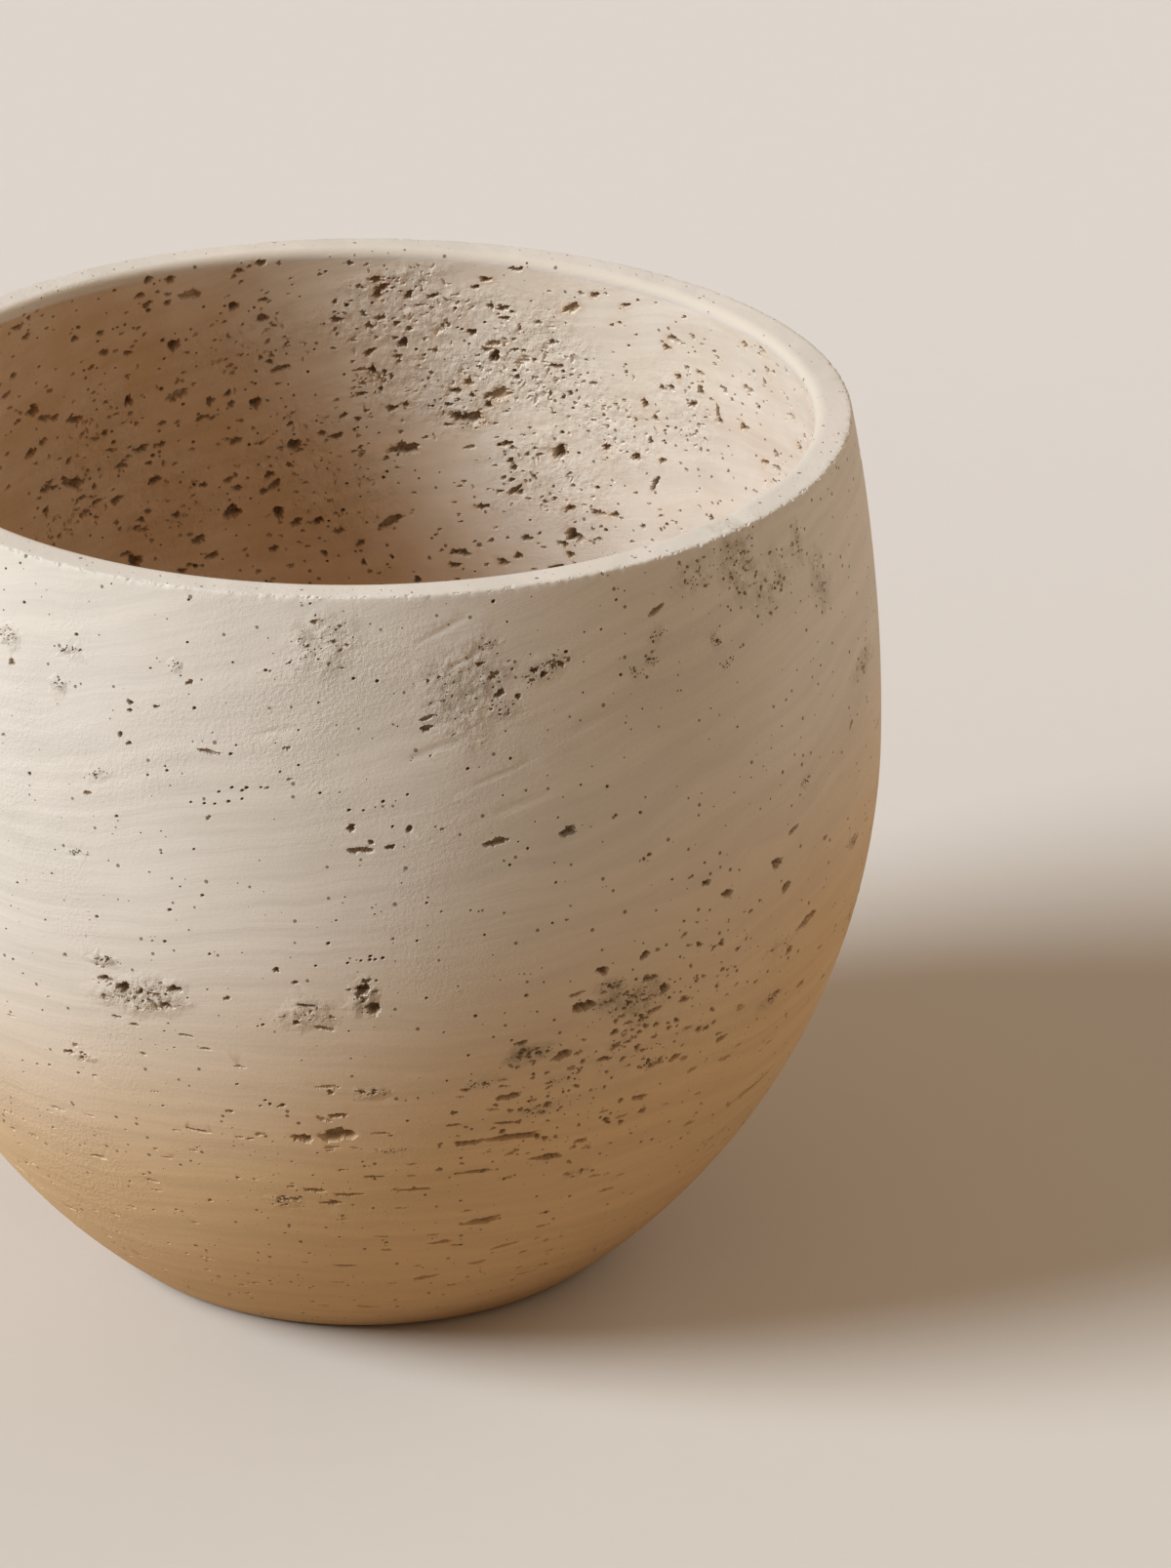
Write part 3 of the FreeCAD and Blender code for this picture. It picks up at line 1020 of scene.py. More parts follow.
    def middle(self, void: Void) -> tuple[np.ndarray, np.ndarray]:
        """Middle of a hollow on the smooth surface, and the outward normal there."""
        places, normals = self.outline.surface(np.array([void.turn]), np.array([void.run]))
        return places[0], normals[0]

    def points(self) -> tuple[np.ndarray, int]:
        """All mesh points, with the plain ones that lie in hollows left out.

        Returns:
            Rows of turn and distance, and the number of points on the sides, which come first.
        """
        plain, sides = self.plain_points()
        inner = np.concatenate([plain] + [self.patch_points(patch) for patch, _ in self.worn])
        inner = inner[np.argsort(inner[:, 1], kind="stable")]
        keep = np.ones(len(inner), bool)
        for void in self.voids:
            near = self.nearby(void, inner[:, 1], inner[:, 0], self.mesh.clear_reach)
            if len(near):
                shares = self.shares(void, inner[near, 0], inner[near, 1])
                keep[near[shares < self.mesh.clear_share]] = False
        hollow = np.concatenate([self.on_sheet(void, *void.rings().T) for void in self.voids])
        loose = np.concatenate([hollow, inner[keep]])
        cells = np.stack([loose[:, 0] * self.outline.radius_at(loose[:, 1]), loose[:, 1]], 1)
        cells = np.round(cells / self.mesh.least_gap).astype(np.int64)
        _, first = np.unique(cells, axis=0, return_index=True)
        return np.concatenate([sides, loose[np.sort(first)]]), len(sides)

    def triangles(self, points: np.ndarray) -> np.ndarray:
        """Joins the points into triangles on a flat, angle-true drawing of the surface.

        Args:
            points: rows of turn and distance along the outline.

        Returns:
            Rows of three point numbers, all wound the same way.
        """
        flat = np.stack([points[:, 0], self.outline.angle_true_at(points[:, 1])], 1)
        _, _, joined, sources, _, _ = delaunay_2d_cdt(
            [Vector(place) for place in flat], [], [], 0, self.mesh.merge_distance, True)
        source = np.array([numbers[0] for numbers in sources])
        faces = source[np.array(joined)]
        a, b, c = flat[faces[:, 0]], flat[faces[:, 1]], flat[faces[:, 2]]
        winding = (b - a)[:, 0] * (c - a)[:, 1] - (b - a)[:, 1] * (c - a)[:, 0]
        faces[winding < 0] = faces[winding < 0][:, ::-1]
        return faces[np.abs(winding) > self.mesh.empty_face]

    def close_up(self, points: np.ndarray, side_count: int) -> np.ndarray:
        """Numbers of the points once the sides of the sheet are joined.

        Args:
            points: rows of turn and distance along the outline.
            side_count: number of points on the sides, which come first.

        Returns:
            For each point, the number of the point that stands for it.
        """
        sizes = self.mesh
        last_turn = self.seam_turn + WHOLE_TURN - sizes.merge_distance
        last_run = float(self.outline.along[-1]) - sizes.merge_distance
        names: dict[tuple[int, int], int] = {}
        numbers = np.arange(len(points))
        for index in range(side_count):
            turn, run = points[index]
            turn = self.seam_turn if turn > last_turn else turn
            run = 0.0 if run > last_run else run
            name = (round(turn * sizes.turn_digits), round(run * sizes.run_digits))
            numbers[index] = names.setdefault(name, index)
        return numbers

    def cut(self, points: np.ndarray) -> tuple[np.ndarray, dict[str, np.ndarray]]:
        """Places of the mesh points after all hollows are cut.

        Args:
            points: rows of turn and distance along the outline.

        Returns:
            Rows of x, y and z, and for each point how far it lies in a hollow, near one, or is worn.
        """
        order = np.argsort(points[:, 1], kind="stable")
        turns, runs = points[order].T
        places, normals = self.outline.surface(turns, runs)
        depth, hollow, stained, worn = np.zeros((4, len(order)))
        ways = -normals
        grain = chance_waves(places, np.ones(len(places)), self.floor_grain)
        for void in self.voids:
            reach = self.mesh.halo_reach if void.halo else self.mesh.cut_reach
            near = self.nearby(void, runs, turns, reach)
            inside = 1.0 - self.shares(void, turns[near], runs[near])
            if void.halo:
                soft = np.clip((inside + void.halo_share - 1.0) / (void.halo_share - 1.0), 0.0, 1.0)
                stained[near] = np.maximum(stained[near], soft)
            near, inside = near[inside > 0], inside[inside > 0]
            share = np.minimum(1.0, inside / void.kind.side_share) ** self.side_power
            hollow[near] = np.maximum(hollow[near], share * void.kind.bottom_darkening)
            floor = 1.0 - void.kind.floor_roughness * np.maximum(0.0, grain[near])
            deeper = share * void.depth * floor > depth[near]
            _, normal = self.middle(void)
            depth[near[deeper]] = (share * void.depth * floor)[deeper]
            ways[near[deeper]] = -normal
        for patch, wear in self.worn:
            near = self.nearby(patch, runs, turns, self.mesh.patch_reach)
            inside = np.clip(1.0 - self.shares(patch, turns[near], runs[near]), 0.0, 1.0)
            worn[near] = np.maximum(worn[near], wear * np.minimum(1.0, self.wear_slope * inside))
        dips = self.uneven(places, runs) + self.rough(places, worn) + self.ragged_rim(places, runs)
        places += ways * depth[:, None] - normals * dips[:, None]
        back = np.empty_like(order)
        back[order] = np.arange(len(order))
        return places[back], {"hollow": hollow[back], "stained": stained[back], "worn": worn[back]}

    def uneven(self, places: np.ndarray, runs: np.ndarray) -> np.ndarray:
        """How far the walls lie below their true surface, in slow waves."""
        dip = np.zeros(len(runs))
        for zone in (Zone.OUTSIDE, Zone.INSIDE):
            first, last = self.outline.spans[zone]
            fade = np.clip(np.minimum(runs - first, last - runs) / self.uneven_length, 0.0, 1.0)
            waves = chance_waves(places, fade, self.uneven_length)
            dip += fade * self.unevenness * (0.5 + 0.5 * waves)
        return dip

    def rough(self, places: np.ndarray, worn: np.ndarray) -> np.ndarray:
        """How far worn patches are eaten away."""
        even, stray = self.patch_depths
        waves = chance_waves(places, worn, self.patch_grain, self.patch_layers)
        return worn * self.patch_relief * np.maximum(0.0, even + stray * waves)

    def ragged_rim(self, places: np.ndarray, runs: np.ndarray) -> np.ndarray:
        """How far the outer edge of the rim is worn back, in small bites."""
        first, last = self.outline.spans[Zone.ARRIS]
        away = np.maximum(0.0, np.maximum(first - runs, runs - last))
        fade = np.clip(1.0 - away / self.arris_reach, 0.0, 1.0)
        waves = chance_waves(places, fade, self.arris_length, self.arris_layers)
        return fade * self.arris_wear * np.maximum(0.0, waves)

    def build(self, name: str) -> bpy.types.Object:
        """Makes the mesh with all its hollows.

        Args:
            name: name of the piece.

        Returns:
            The piece.
        """
        points, side_count = self.points()
        faces = self.close_up(points, side_count)[self.triangles(points)]
        places, layers = self.cut(points)
        first, last = self.outline.spans[Zone.LIP]
        # Masks for the finish: inside is where the lining is painted paler, with painted shade; lip is the
        # rounded inner edge, whose highlight is dimmed by painted shade.
        layers["inside"] = (points[:, 1] > last).astype(float)
        from_lip = np.abs(points[:, 1] - (first + last) / 2) / (last - first)
        layers["lip"] = np.clip(1.0 - from_lip, 0.0, 1.0)
        used, faces = np.unique(faces, return_inverse=True)
        mesh = bpy.data.meshes.new(name)
        mesh.from_pydata(places[used].tolist(), [], faces.reshape(-1, 3).tolist())
        for title, values in layers.items():
            layer = mesh.attributes.new(title, "FLOAT", "POINT")
            layer.data.foreach_set("value", values[used].astype(np.float32))
        mesh.shade_smooth()
        mesh.set_sharp_from_angle(angle=self.mesh.sharp_angle)
        mesh.validate()
        piece = bpy.data.objects.new(name, mesh)
        bpy.context.scene.collection.objects.link(piece)
        return piece


class NodeSheet:
    """Short way to write down the nodes of one material or group."""

    def __init__(self, tree: bpy.types.NodeTree) -> None:
        """Takes the tree to write in."""
        self.tree = tree

    def add(self, kind: str, inputs: dict | None = None, **settings: object) -> bpy.types.Node:
        """Adds a node.

        Args:
            kind: Blender's name of the node type.
            inputs: values or sockets for its inputs, by name or number.
            settings: its other properties.

        Returns:
            The node.
        """
        node = self.tree.nodes.new(kind)
        for name, value in settings.items():
            setattr(node, name, value)
        for name, value in (inputs or {}).items():
            self.feed(node.inputs[name], value)
        return node

    def feed(self, socket: bpy.types.NodeSocket, value: object) -> None:
        """Links a socket to another, or gives it a plain value."""
        if isinstance(value, bpy.types.NodeSocket):
            self.tree.links.new(value, socket)
        elif isinstance(value, tuple) and len(value) == 3 and socket.type == "RGBA":
            socket.default_value = (*value, 1.0)
        else:
            socket.default_value = value

    def sum(self, kind: str, *values: object) -> bpy.types.NodeSocket:
        """Result of a sum of one or two values, such as MAXIMUM."""
        return self.add("ShaderNodeMath", dict(enumerate(values)), operation=kind).outputs[0]

    def times(self, first: object, second: object) -> bpy.types.NodeSocket:
        """Product of two values."""
        return self.sum("MULTIPLY", first, second)

    def plus(self, first: object, second: object) -> bpy.types.NodeSocket:
        """Total of two values."""
        return self.sum("ADD", first, second)

    def minus(self, first: object, second: object) -> bpy.types.NodeSocket:
        """Difference of two values."""
        return self.sum("SUBTRACT", first, second)

    def mix(self, share: object, first: object, second: object) -> bpy.types.NodeSocket:
        """Blend of two colours."""
        node = self.add("ShaderNodeMix", data_type="RGBA")
        for number, value in ((0, share), (6, first), (7, second)):
            self.feed(node.inputs[number], value)
        return node.outputs[2]

    def tint(self, colour: object, scale: object) -> bpy.types.NodeSocket:
        """Colour scaled by a number."""
        return self.add("ShaderNodeVectorMath", {0: colour, "Scale": scale}, operation="SCALE").outputs[0]

    def ramp(self, value: object, low: object, high: object, out_low: object = 0.0,
             out_high: object = 1.0) -> bpy.types.NodeSocket:
        """Smooth step of a value from one range to another."""
        levels = {"Value": value, "From Min": low, "From Max": high, "To Min": out_low, "To Max": out_high}
        return self.add("ShaderNodeMapRange", levels, interpolation_type="SMOOTHSTEP").outputs[0]

    def noise(self, vector: object, scale: object, detail: float = 2.0,
              rough: float = 0.5) -> bpy.types.NodeSocket:
        """Grey noise between zero and one."""
        levels = {"Vector": vector, "Scale": scale, "Detail": detail, "Roughness": rough}
        return self.add("ShaderNodeTexNoise", levels).outputs[0]

    def place(self) -> bpy.types.NodeSocket:
        """Place on the object, in metres."""
        return self.add("ShaderNodeTexCoord").outputs["Object"]

    def bump(self, height: object, depth: float) -> bpy.types.NodeSocket:
        """Normal of a surface with a relief, which is so deep where its height is one."""
        node = self.add("ShaderNodeBump", {"Height": height, "Distance": depth})
        return node.outputs[0]

    def layer(self, name: str) -> bpy.types.NodeSocket:
        """Value that the mesh carries at its points."""
        return self.add("ShaderNodeAttribute", attribute_name=name).outputs["Fac"]

    def watched(self) -> bpy.types.NodeSocket:
        """One for rays that show a surface to the camera, straight or by reflection, and else zero."""
        rays = self.add("ShaderNodeLightPath").outputs
        mirrored = self.sum("MAXIMUM", rays["Is Glossy Ray"], rays["Is Transmission Ray"])
        return self.sum("MAXIMUM", rays["Is Camera Ray"], mirrored)

    def group(self, tree: bpy.types.NodeTree, **values: float) -> bpy.types.Node:
        """Places a shared group with its own values."""
        node = self.add("ShaderNodeGroup", node_tree=tree)
        for title, value in values.items():
            node.inputs[title].default_value = value
        return node


class SharedEffects:
    """Effects that several finishes use, each a node group that is built once."""

    fine_ratio = 3.1
    coarse_share = 0.7
    fine_share = 0.3
    drift_range = (0.35, 0.7)
    facing_range = (-0.2, 0.95)

    def __init__(self) -> None:
        """Builds the groups."""
        self.grain = self._grain()
        self.mottle = self._mottle()
        self.dust = self._dust()

    def _new(self, name: str, inputs: dict[str, float],
             outputs: tuple[str, ...]) -> tuple[NodeSheet, bpy.types.NodeOutputs]:
        """Makes an empty group with number sockets.

        Args:
            name: name of the group.
            inputs: names of its inputs and their usual values.
            outputs: names of its outputs.

        Returns:
            The group's sheet of nodes, and the values that it is given.
        """
        tree = bpy.data.node_groups.new(name, "ShaderNodeTree")
        for title, value in inputs.items():
            socket = tree.interface.new_socket(title, in_out="INPUT", socket_type="NodeSocketFloat")
            socket.default_value = value
        for title in outputs:
            tree.interface.new_socket(title, in_out="OUTPUT", socket_type="NodeSocketFloat")
        sheet = NodeSheet(tree)
        return sheet, sheet.add("NodeGroupInput").outputs

    def _grain(self) -> bpy.types.NodeTree:
        """Fine grain: a tint that strays about one, and a height for bump."""
        sheet, given = self._new("fine grain", {"Scale": 400.0, "Tint": 0.05}, ("Tint", "Height"))
        place = sheet.place()
        coarse = sheet.noise(place, given["Scale"], detail=3.0, rough=0.6)
        fine = sheet.noise(place, sheet.times(given["Scale"], self.fine_ratio))
        height = sheet.plus(sheet.times(coarse, self.coarse_share), sheet.times(fine, self.fine_share))
        stray = sheet.times(sheet.minus(height, 0.5), given["Tint"])
        sheet.add("NodeGroupOutput", {"Tint": sheet.plus(stray, 1.0), "Height": height})
        return sheet.tree

    def _mottle(self) -> bpy.types.NodeTree:
        """Soft clouds between zero and one, for slow changes of colour."""
        sheet, given = self._new("mottle", {"Scale": 12.0, "Low": 0.38, "High": 0.66}, ("Share",))
        cloud = sheet.noise(sheet.place(), given["Scale"], detail=4.0, rough=0.55)
        sheet.add("NodeGroupOutput", {"Share": sheet.ramp(cloud, given["Low"], given["High"])})
        return sheet.tree

    def _dust(self) -> bpy.types.NodeTree:
        """Pale dust that lies on what faces up, in thin drifts."""
        sheet, given = self._new("dust", {"Amount": 0.4, "Scale": 160.0}, ("Mask",))
        normal = sheet.add("ShaderNodeNewGeometry").outputs["Normal"]
        rise = sheet.add("ShaderNodeSeparateXYZ", {0: normal}).outputs["Z"]
        cloud = sheet.noise(sheet.place(), given["Scale"], detail=4.0, rough=0.6)
        drift = sheet.ramp(cloud, *self.drift_range)
        lying = sheet.times(sheet.ramp(rise, *self.facing_range), drift)
        sheet.add("NodeGroupOutput", {"Mask": sheet.times(lying, given["Amount"])})
        return sheet.tree


def new_material(name: str) -> tuple[bpy.types.Material, NodeSheet, bpy.types.Node]:
    """Empty material.

    Args:
        name: its name.

    Returns:
        The material, its sheet of nodes and its surface shader.
    """
    material = bpy.data.materials.new(name)
    material.use_nodes = True
    sheet = NodeSheet(material.node_tree)
    return material, sheet, material.node_tree.nodes["Principled BSDF"]


@dataclass(frozen=True)
class StoneFinish:
    """Pitted stone: cream above, ochre below, with bedding, stains and a sandy skin, and painted light and
    shade inside and on the lip.
    """

    cream: Colour = (0.700, 0.652, 0.592)
    cream_pink: Colour = (0.695, 0.628, 0.565)
    cream_grey: Colour = (0.645, 0.600, 0.528)
    ochre: Colour = (0.690, 0.502, 0.300)
    ochre_deep: Colour = (0.655, 0.450, 0.250)
    # Painted light: the lining is painted paler than the outside stone, which brightens the inside.
    lining: Colour = (0.825, 0.752, 0.655)
    # Painted shade: the right of the inside is painted darker and warmer.
    lining_right_shade: Colour = (0.735, 0.645, 0.555)
    # Brown of the rings round the inner hollows, and of the painted shade to the left of and low in the
    # inside.
    lining_stain_and_shade: Colour = (0.585, 0.395, 0.235)
    # Painted shade on the rounded inner edge of the rim, which dims its highlight.
    lip: Colour = (0.625, 0.550, 0.462)
    hollow_soft: Colour = (0.375, 0.275, 0.180)
    hollow_deep: Colour = (0.110, 0.070, 0.040)
    wear: Colour = (0.345, 0.278, 0.205)
    blend_low: float = 0.095
    blend_high: float = 0.245
    blend_stray: float = 0.034
    blend_tilt: float = -0.24
    blend_scale: float = 6.0
    pink_scale: float = 8.0
    grey_scale: float = 15.0
    grey_share: float = 0.55
    deep_levels: Point = (0.11, 0.02)
    deep_scale: float = 10.0
    deep_share: float = 0.6
    blotch_scale: float = 45.0
    blotch_range: Point = (0.30, 0.72)
    blotch_share: float = 0.22
    shade_level: float = 0.33
    shade_slope: float = 0.8
    shade_stray: float = 1.6
    shade_range: Point = (0.015, -0.105)
    shade_share: float = 0.78
    right_shade_level: float = 0.30
    right_shade_slope: float = 0.8
    right_shade_range: Point = (0.085, 0.18)
    wander_scale: float = 11.0
    wander: float = 0.024
    band_stretch: float = 9.0
    band_fineness: float = 170.0
    band_range: Point = (0.30, 0.70)
    band_tints: Point = (0.93, 1.03)
    band_height: float = 0.30
    lip_shade_range: Point = (0.35, 0.95)
    lip_shade_share: float = 0.9
    speck_scale: float = 240.0
    speck_chance: float = 0.66
    speck_size: float = 0.20
    speck_share: float = 0.75
    speck_height: float = 0.5
    dirt_scale: float = 170.0
    dirt_range: Point = (0.35, 0.7)
    dirt_shares: Point = (0.85, 0.30)
    ring_scale: float = 90.0
    ring_range: Point = (0.35, 0.75)
    ring_share: float = 0.6
    soft_range: Point = (0.16, 0.50)
    soft_share: float = 0.88
    dark_range: Point = (0.52, 0.98)
    dark_share: float = 0.92
    grain_scale: float = 680.0
    grain_tint: float = 0.11
    sand_scale: float = 13.0
    sand_range: Point = (0.48, 0.72)
    sand_share: float = 0.62
    sand_least: float = 0.12
    wrinkle_scale: float = 260.0
    wrinkle_height: float = 2.2
    roughness: Point = (0.74, 0.94)
    specular: float = 0.2
    bump_depth: float = 0.0008

    def material(self, effects: SharedEffects) -> bpy.types.Material:
        """Writes the finish.

        Args:
            effects: the shared node groups.

        Returns:
            The material.
        """
        material, sheet, shader = new_material("pitted stone")
        grain = sheet.group(effects.grain, Scale=self.grain_scale, Tint=self.grain_tint).outputs
        streak = self._bedding(sheet)
        speck = self._specks(sheet)
        body = self._body(sheet, effects)
        body = sheet.tint(body, sheet.ramp(streak, *self.band_range, *self.band_tints))
        # Painted shade: the lip is painted darker and warmer, which dims its highlight.
        lip_shade_mask = sheet.ramp(sheet.layer("lip"), *self.lip_shade_range, 0.0, self.lip_shade_share)
        body = sheet.mix(lip_shade_mask, body, self.lip)
        body = sheet.tint(body, grain["Tint"])
        body = sheet.mix(sheet.times(speck, self.speck_share), body, self.hollow_deep)
        body = self._stains(sheet, body)
        sheet.feed(shader.inputs["Base Color"], body)
        rough = sheet.ramp(grain["Height"], *GRAIN_RANGE, *self.roughness)
        sheet.feed(shader.inputs["Roughness"], rough)
        sheet.feed(shader.inputs["Normal"], self._relief(sheet, effects, grain["Height"], streak, speck))
        shader.inputs["Specular IOR Level"].default_value = self.specular
        return material

    def _clouds(self, sheet: NodeSheet, effects: SharedEffects, scale: float,
                spread: Point = (0.38, 0.66)) -> bpy.types.NodeSocket:
        """Soft clouds of one scale."""
        low, high = spread
        return sheet.group(effects.mottle, Scale=scale, Low=low, High=high).outputs["Share"]

    def _body(self, sheet: NodeSheet, effects: SharedEffects) -> bpy.types.NodeSocket:
        """Colour of the plain stone: cream over ochre outside; inside, a lining painted paler as painted
        light, with painted shade that browns it to the left and lower down among brown blotches, and
        darkens it on the right.
        """
        place = sheet.place()
        axes = sheet.add("ShaderNodeSeparateXYZ", {0: place}).outputs
        level = axes["Z"]
        cloud = sheet.noise(place, self.blend_scale, detail=3.0)
        stray = sheet.times(sheet.minus(cloud, 0.5), self.blend_stray)
        strayed = sheet.plus(sheet.plus(level, stray), sheet.times(axes["X"], self.blend_tilt))
        cream = sheet.mix(self._clouds(sheet, effects, self.pink_scale), self.cream, self.cream_pink)
        grey = sheet.times(self._clouds(sheet, effects, self.grey_scale), self.grey_share)
        cream = sheet.mix(grey, cream, self.cream_grey)
        deep = sheet.sum("MAXIMUM", sheet.ramp(strayed, *self.deep_levels),
                         sheet.times(self._clouds(sheet, effects, self.deep_scale), self.deep_share))
        ochre = sheet.mix(deep, self.ochre, self.ochre_deep)
        body = sheet.mix(sheet.ramp(strayed, self.blend_high, self.blend_low), cream, ochre)
        blotch = self._clouds(sheet, effects, self.blotch_scale, self.blotch_range)
        # Painted shade: the inside browns towards the left and lower down, among brown blotches.
        depth = sheet.times(sheet.minus(level, self.shade_level), self.shade_slope)
        left = sheet.plus(sheet.plus(axes["X"], depth), sheet.times(stray, self.shade_stray))
        shaded = sheet.ramp(left, *self.shade_range)
        brown = sheet.plus(sheet.times(shaded, self.shade_share), sheet.times(blotch, self.blotch_share))
        # Painted shade: the right of the inside is darker and warmer, more so lower down.
        rise = sheet.times(sheet.minus(level, self.right_shade_level), self.right_shade_slope)
        right = sheet.minus(axes["X"], rise)
        lining = sheet.mix(sheet.ramp(right, *self.right_shade_range), self.lining, self.lining_right_shade)
        lining = sheet.mix(brown, lining, self.lining_stain_and_shade)
        return sheet.mix(sheet.layer("inside"), body, lining)

    def _bedding(self, sheet: NodeSheet) -> bpy.types.NodeSocket:
        """Faint uneven bands along the bedding, which steepens upwards."""
        place = sheet.place()
        axes = sheet.add("ShaderNodeSeparateXYZ", {0: place}).outputs
        tilt = sheet.ramp(axes["Z"], BEDDING.level_low, BEDDING.level_high, BEDDING.slope_low,
                          BEDDING.slope_high)
        cloud = sheet.noise(place, self.wander_scale, detail=3.0)
        wander = sheet.times(sheet.minus(cloud, 0.5), self.wander)
        bed = sheet.plus(sheet.minus(axes["Z"], sheet.times(axes["X"], tilt)), wander)
        stretched = sheet.add("ShaderNodeCombineXYZ", {
            "X": sheet.times(axes["X"], self.band_stretch),
            "Y": sheet.times(axes["Y"], self.band_stretch),
            "Z": sheet.times(bed, self.band_fineness),
        }).outputs[0]
        return sheet.noise(stretched, 1.0, detail=5.0, rough=0.62)

    def _specks(self, sheet: NodeSheet) -> bpy.types.NodeSocket:
        """Pinpricks too small for the mesh, one in some of the cells of a loose grid."""
        levels = {"Vector": sheet.place(), "Scale": self.speck_scale}
        cells = sheet.add("ShaderNodeTexVoronoi", levels).outputs
        chance = sheet.add("ShaderNodeSeparateColor", {0: cells["Color"]}).outputs[0]
        size = sheet.ramp(chance, self.speck_chance, 1.0, 0.0, self.speck_size)
        return sheet.sum("GREATER_THAN", size, cells["Distance"])

    def _stains(self, sheet: NodeSheet, body: bpy.types.NodeSocket) -> bpy.types.NodeSocket:
        """Brown of the worn patches and of the stone round the inner hollows, and the hollows painted
        darker towards their bottoms.
        """
        place = sheet.place()
        patchy = sheet.ramp(sheet.noise(place, self.dirt_scale, detail=4.0, rough=0.65), *self.dirt_range)
        hollow = sheet.layer("hollow")
        dirt = sheet.times(patchy, sheet.ramp(sheet.layer("inside"), 0.0, 1.0, *self.dirt_shares))
        body = sheet.mix(sheet.times(sheet.layer("worn"), dirt), body, self.wear)
        stained = sheet.layer("stained")
        spotty = sheet.ramp(sheet.noise(place, self.ring_scale, detail=3.0), *self.ring_range)
        ring = sheet.times(stained, spotty)
        body = sheet.mix(sheet.times(ring, self.ring_share), body, self.lining_stain_and_shade)
        # The hollows are painted darker towards their bottoms: brown part way down, near black at the
        # bottom of the deepest.
        soft = sheet.ramp(hollow, *self.soft_range, 0.0, self.soft_share)
        body = sheet.mix(soft, body, self.hollow_soft)
        dark = sheet.ramp(hollow, *self.dark_range, 0.0, self.dark_share)
        return sheet.mix(dark, body, self.hollow_deep)

    def _relief(self, sheet: NodeSheet, effects: SharedEffects, grain: bpy.types.NodeSocket,
                streak: bpy.types.NodeSocket, speck: bpy.types.NodeSocket) -> bpy.types.NodeSocket:
        """Sandy skin, which is stronger in clouds and on worn patches, with faint bands and pinpricks."""
        clouds = self._clouds(sheet, effects, self.sand_scale, self.sand_range)
        sandy = sheet.plus(clouds, sheet.layer("worn"))
        sand = sheet.times(grain, sheet.plus(sheet.times(sandy, self.sand_share), self.sand_least))
        wrinkle = sheet.noise(sheet.place(), self.wrinkle_scale, detail=3.0, rough=0.6)
        wrinkle = sheet.times(wrinkle, sheet.layer("worn"))
        sand = sheet.plus(sand, sheet.times(wrinkle, self.wrinkle_height))
        banded = sheet.plus(sand, sheet.times(streak, self.band_height))
        height = sheet.minus(banded, sheet.times(speck, self.speck_height))
        return sheet.bump(height, self.bump_depth)


@dataclass(frozen=True)
class MouldedFinish:
    """Moulded plastic or rubber, with a fine grain and dust on what faces up."""

    name: str
    colour: Colour
    colour_worn: Colour
    dust: Colour
    dust_amount: float
    grain_scale: float
    rough_low: float
    rough_high: float
    specular: float
    bump_depth: float
    grain_tint: float = 0.25
    cloud_scale: float = 90.0

    def material(self, effects: SharedEffects) -> bpy.types.Material:
        """Writes the finish.

        Args:
            effects: the shared node groups.

        Returns:
            The material.
        """
        material, sheet, shader = new_material(self.name)
        grain = sheet.group(effects.grain, Scale=self.grain_scale, Tint=self.grain_tint).outputs
        clouds = sheet.group(effects.mottle, Scale=self.cloud_scale).outputs["Share"]
        dust = sheet.group(effects.dust, Amount=self.dust_amount).outputs["Mask"]
        body = sheet.tint(sheet.mix(clouds, self.colour, self.colour_worn), grain["Tint"])
        sheet.feed(shader.inputs["Base Color"], sheet.mix(dust, body, self.dust))
        rough = sheet.ramp(grain["Height"], *GRAIN_RANGE, self.rough_low, self.rough_high)
        sheet.feed(shader.inputs["Roughness"], rough)
        sheet.feed(shader.inputs["Normal"], sheet.bump(grain["Height"], self.bump_depth))
        shader.inputs["Specular IOR Level"].default_value = self.specular
        return material


STONE = StoneFinish()
DUST: Colour = (0.42, 0.36, 0.30)
SLEEVE = MouldedFinish("sleeve plastic", (0.060, 0.054, 0.048), (0.085, 0.076, 0.066), DUST,
                       dust_amount=0.35, grain_scale=900.0, rough_low=0.42, rough_high=0.60,
                       specular=0.45, bump_depth=0.00006)
SCREEN = MouldedFinish("screen plastic", (0.034, 0.031, 0.028), (0.052, 0.047, 0.041), DUST,
                       dust_amount=0.45, grain_scale=700.0, rough_low=0.50, rough_high=0.68,
                       specular=0.45, bump_depth=0.00008)
PLUG = MouldedFinish("plug rubber", (0.018, 0.018, 0.018), (0.034, 0.033, 0.031), DUST,
                     dust_amount=0.25, grain_scale=1200.0, rough_low=0.60, rough_high=0.80,
                     specular=0.35, bump_depth=0.00005)
PAD = MouldedFinish("pad rubber", (0.024, 0.023, 0.022), (0.045, 0.042, 0.039), DUST,
                    dust_amount=0.20, grain_scale=800.0, rough_low=0.72, rough_high=0.90,
                    specular=0.30, bump_depth=0.00008)


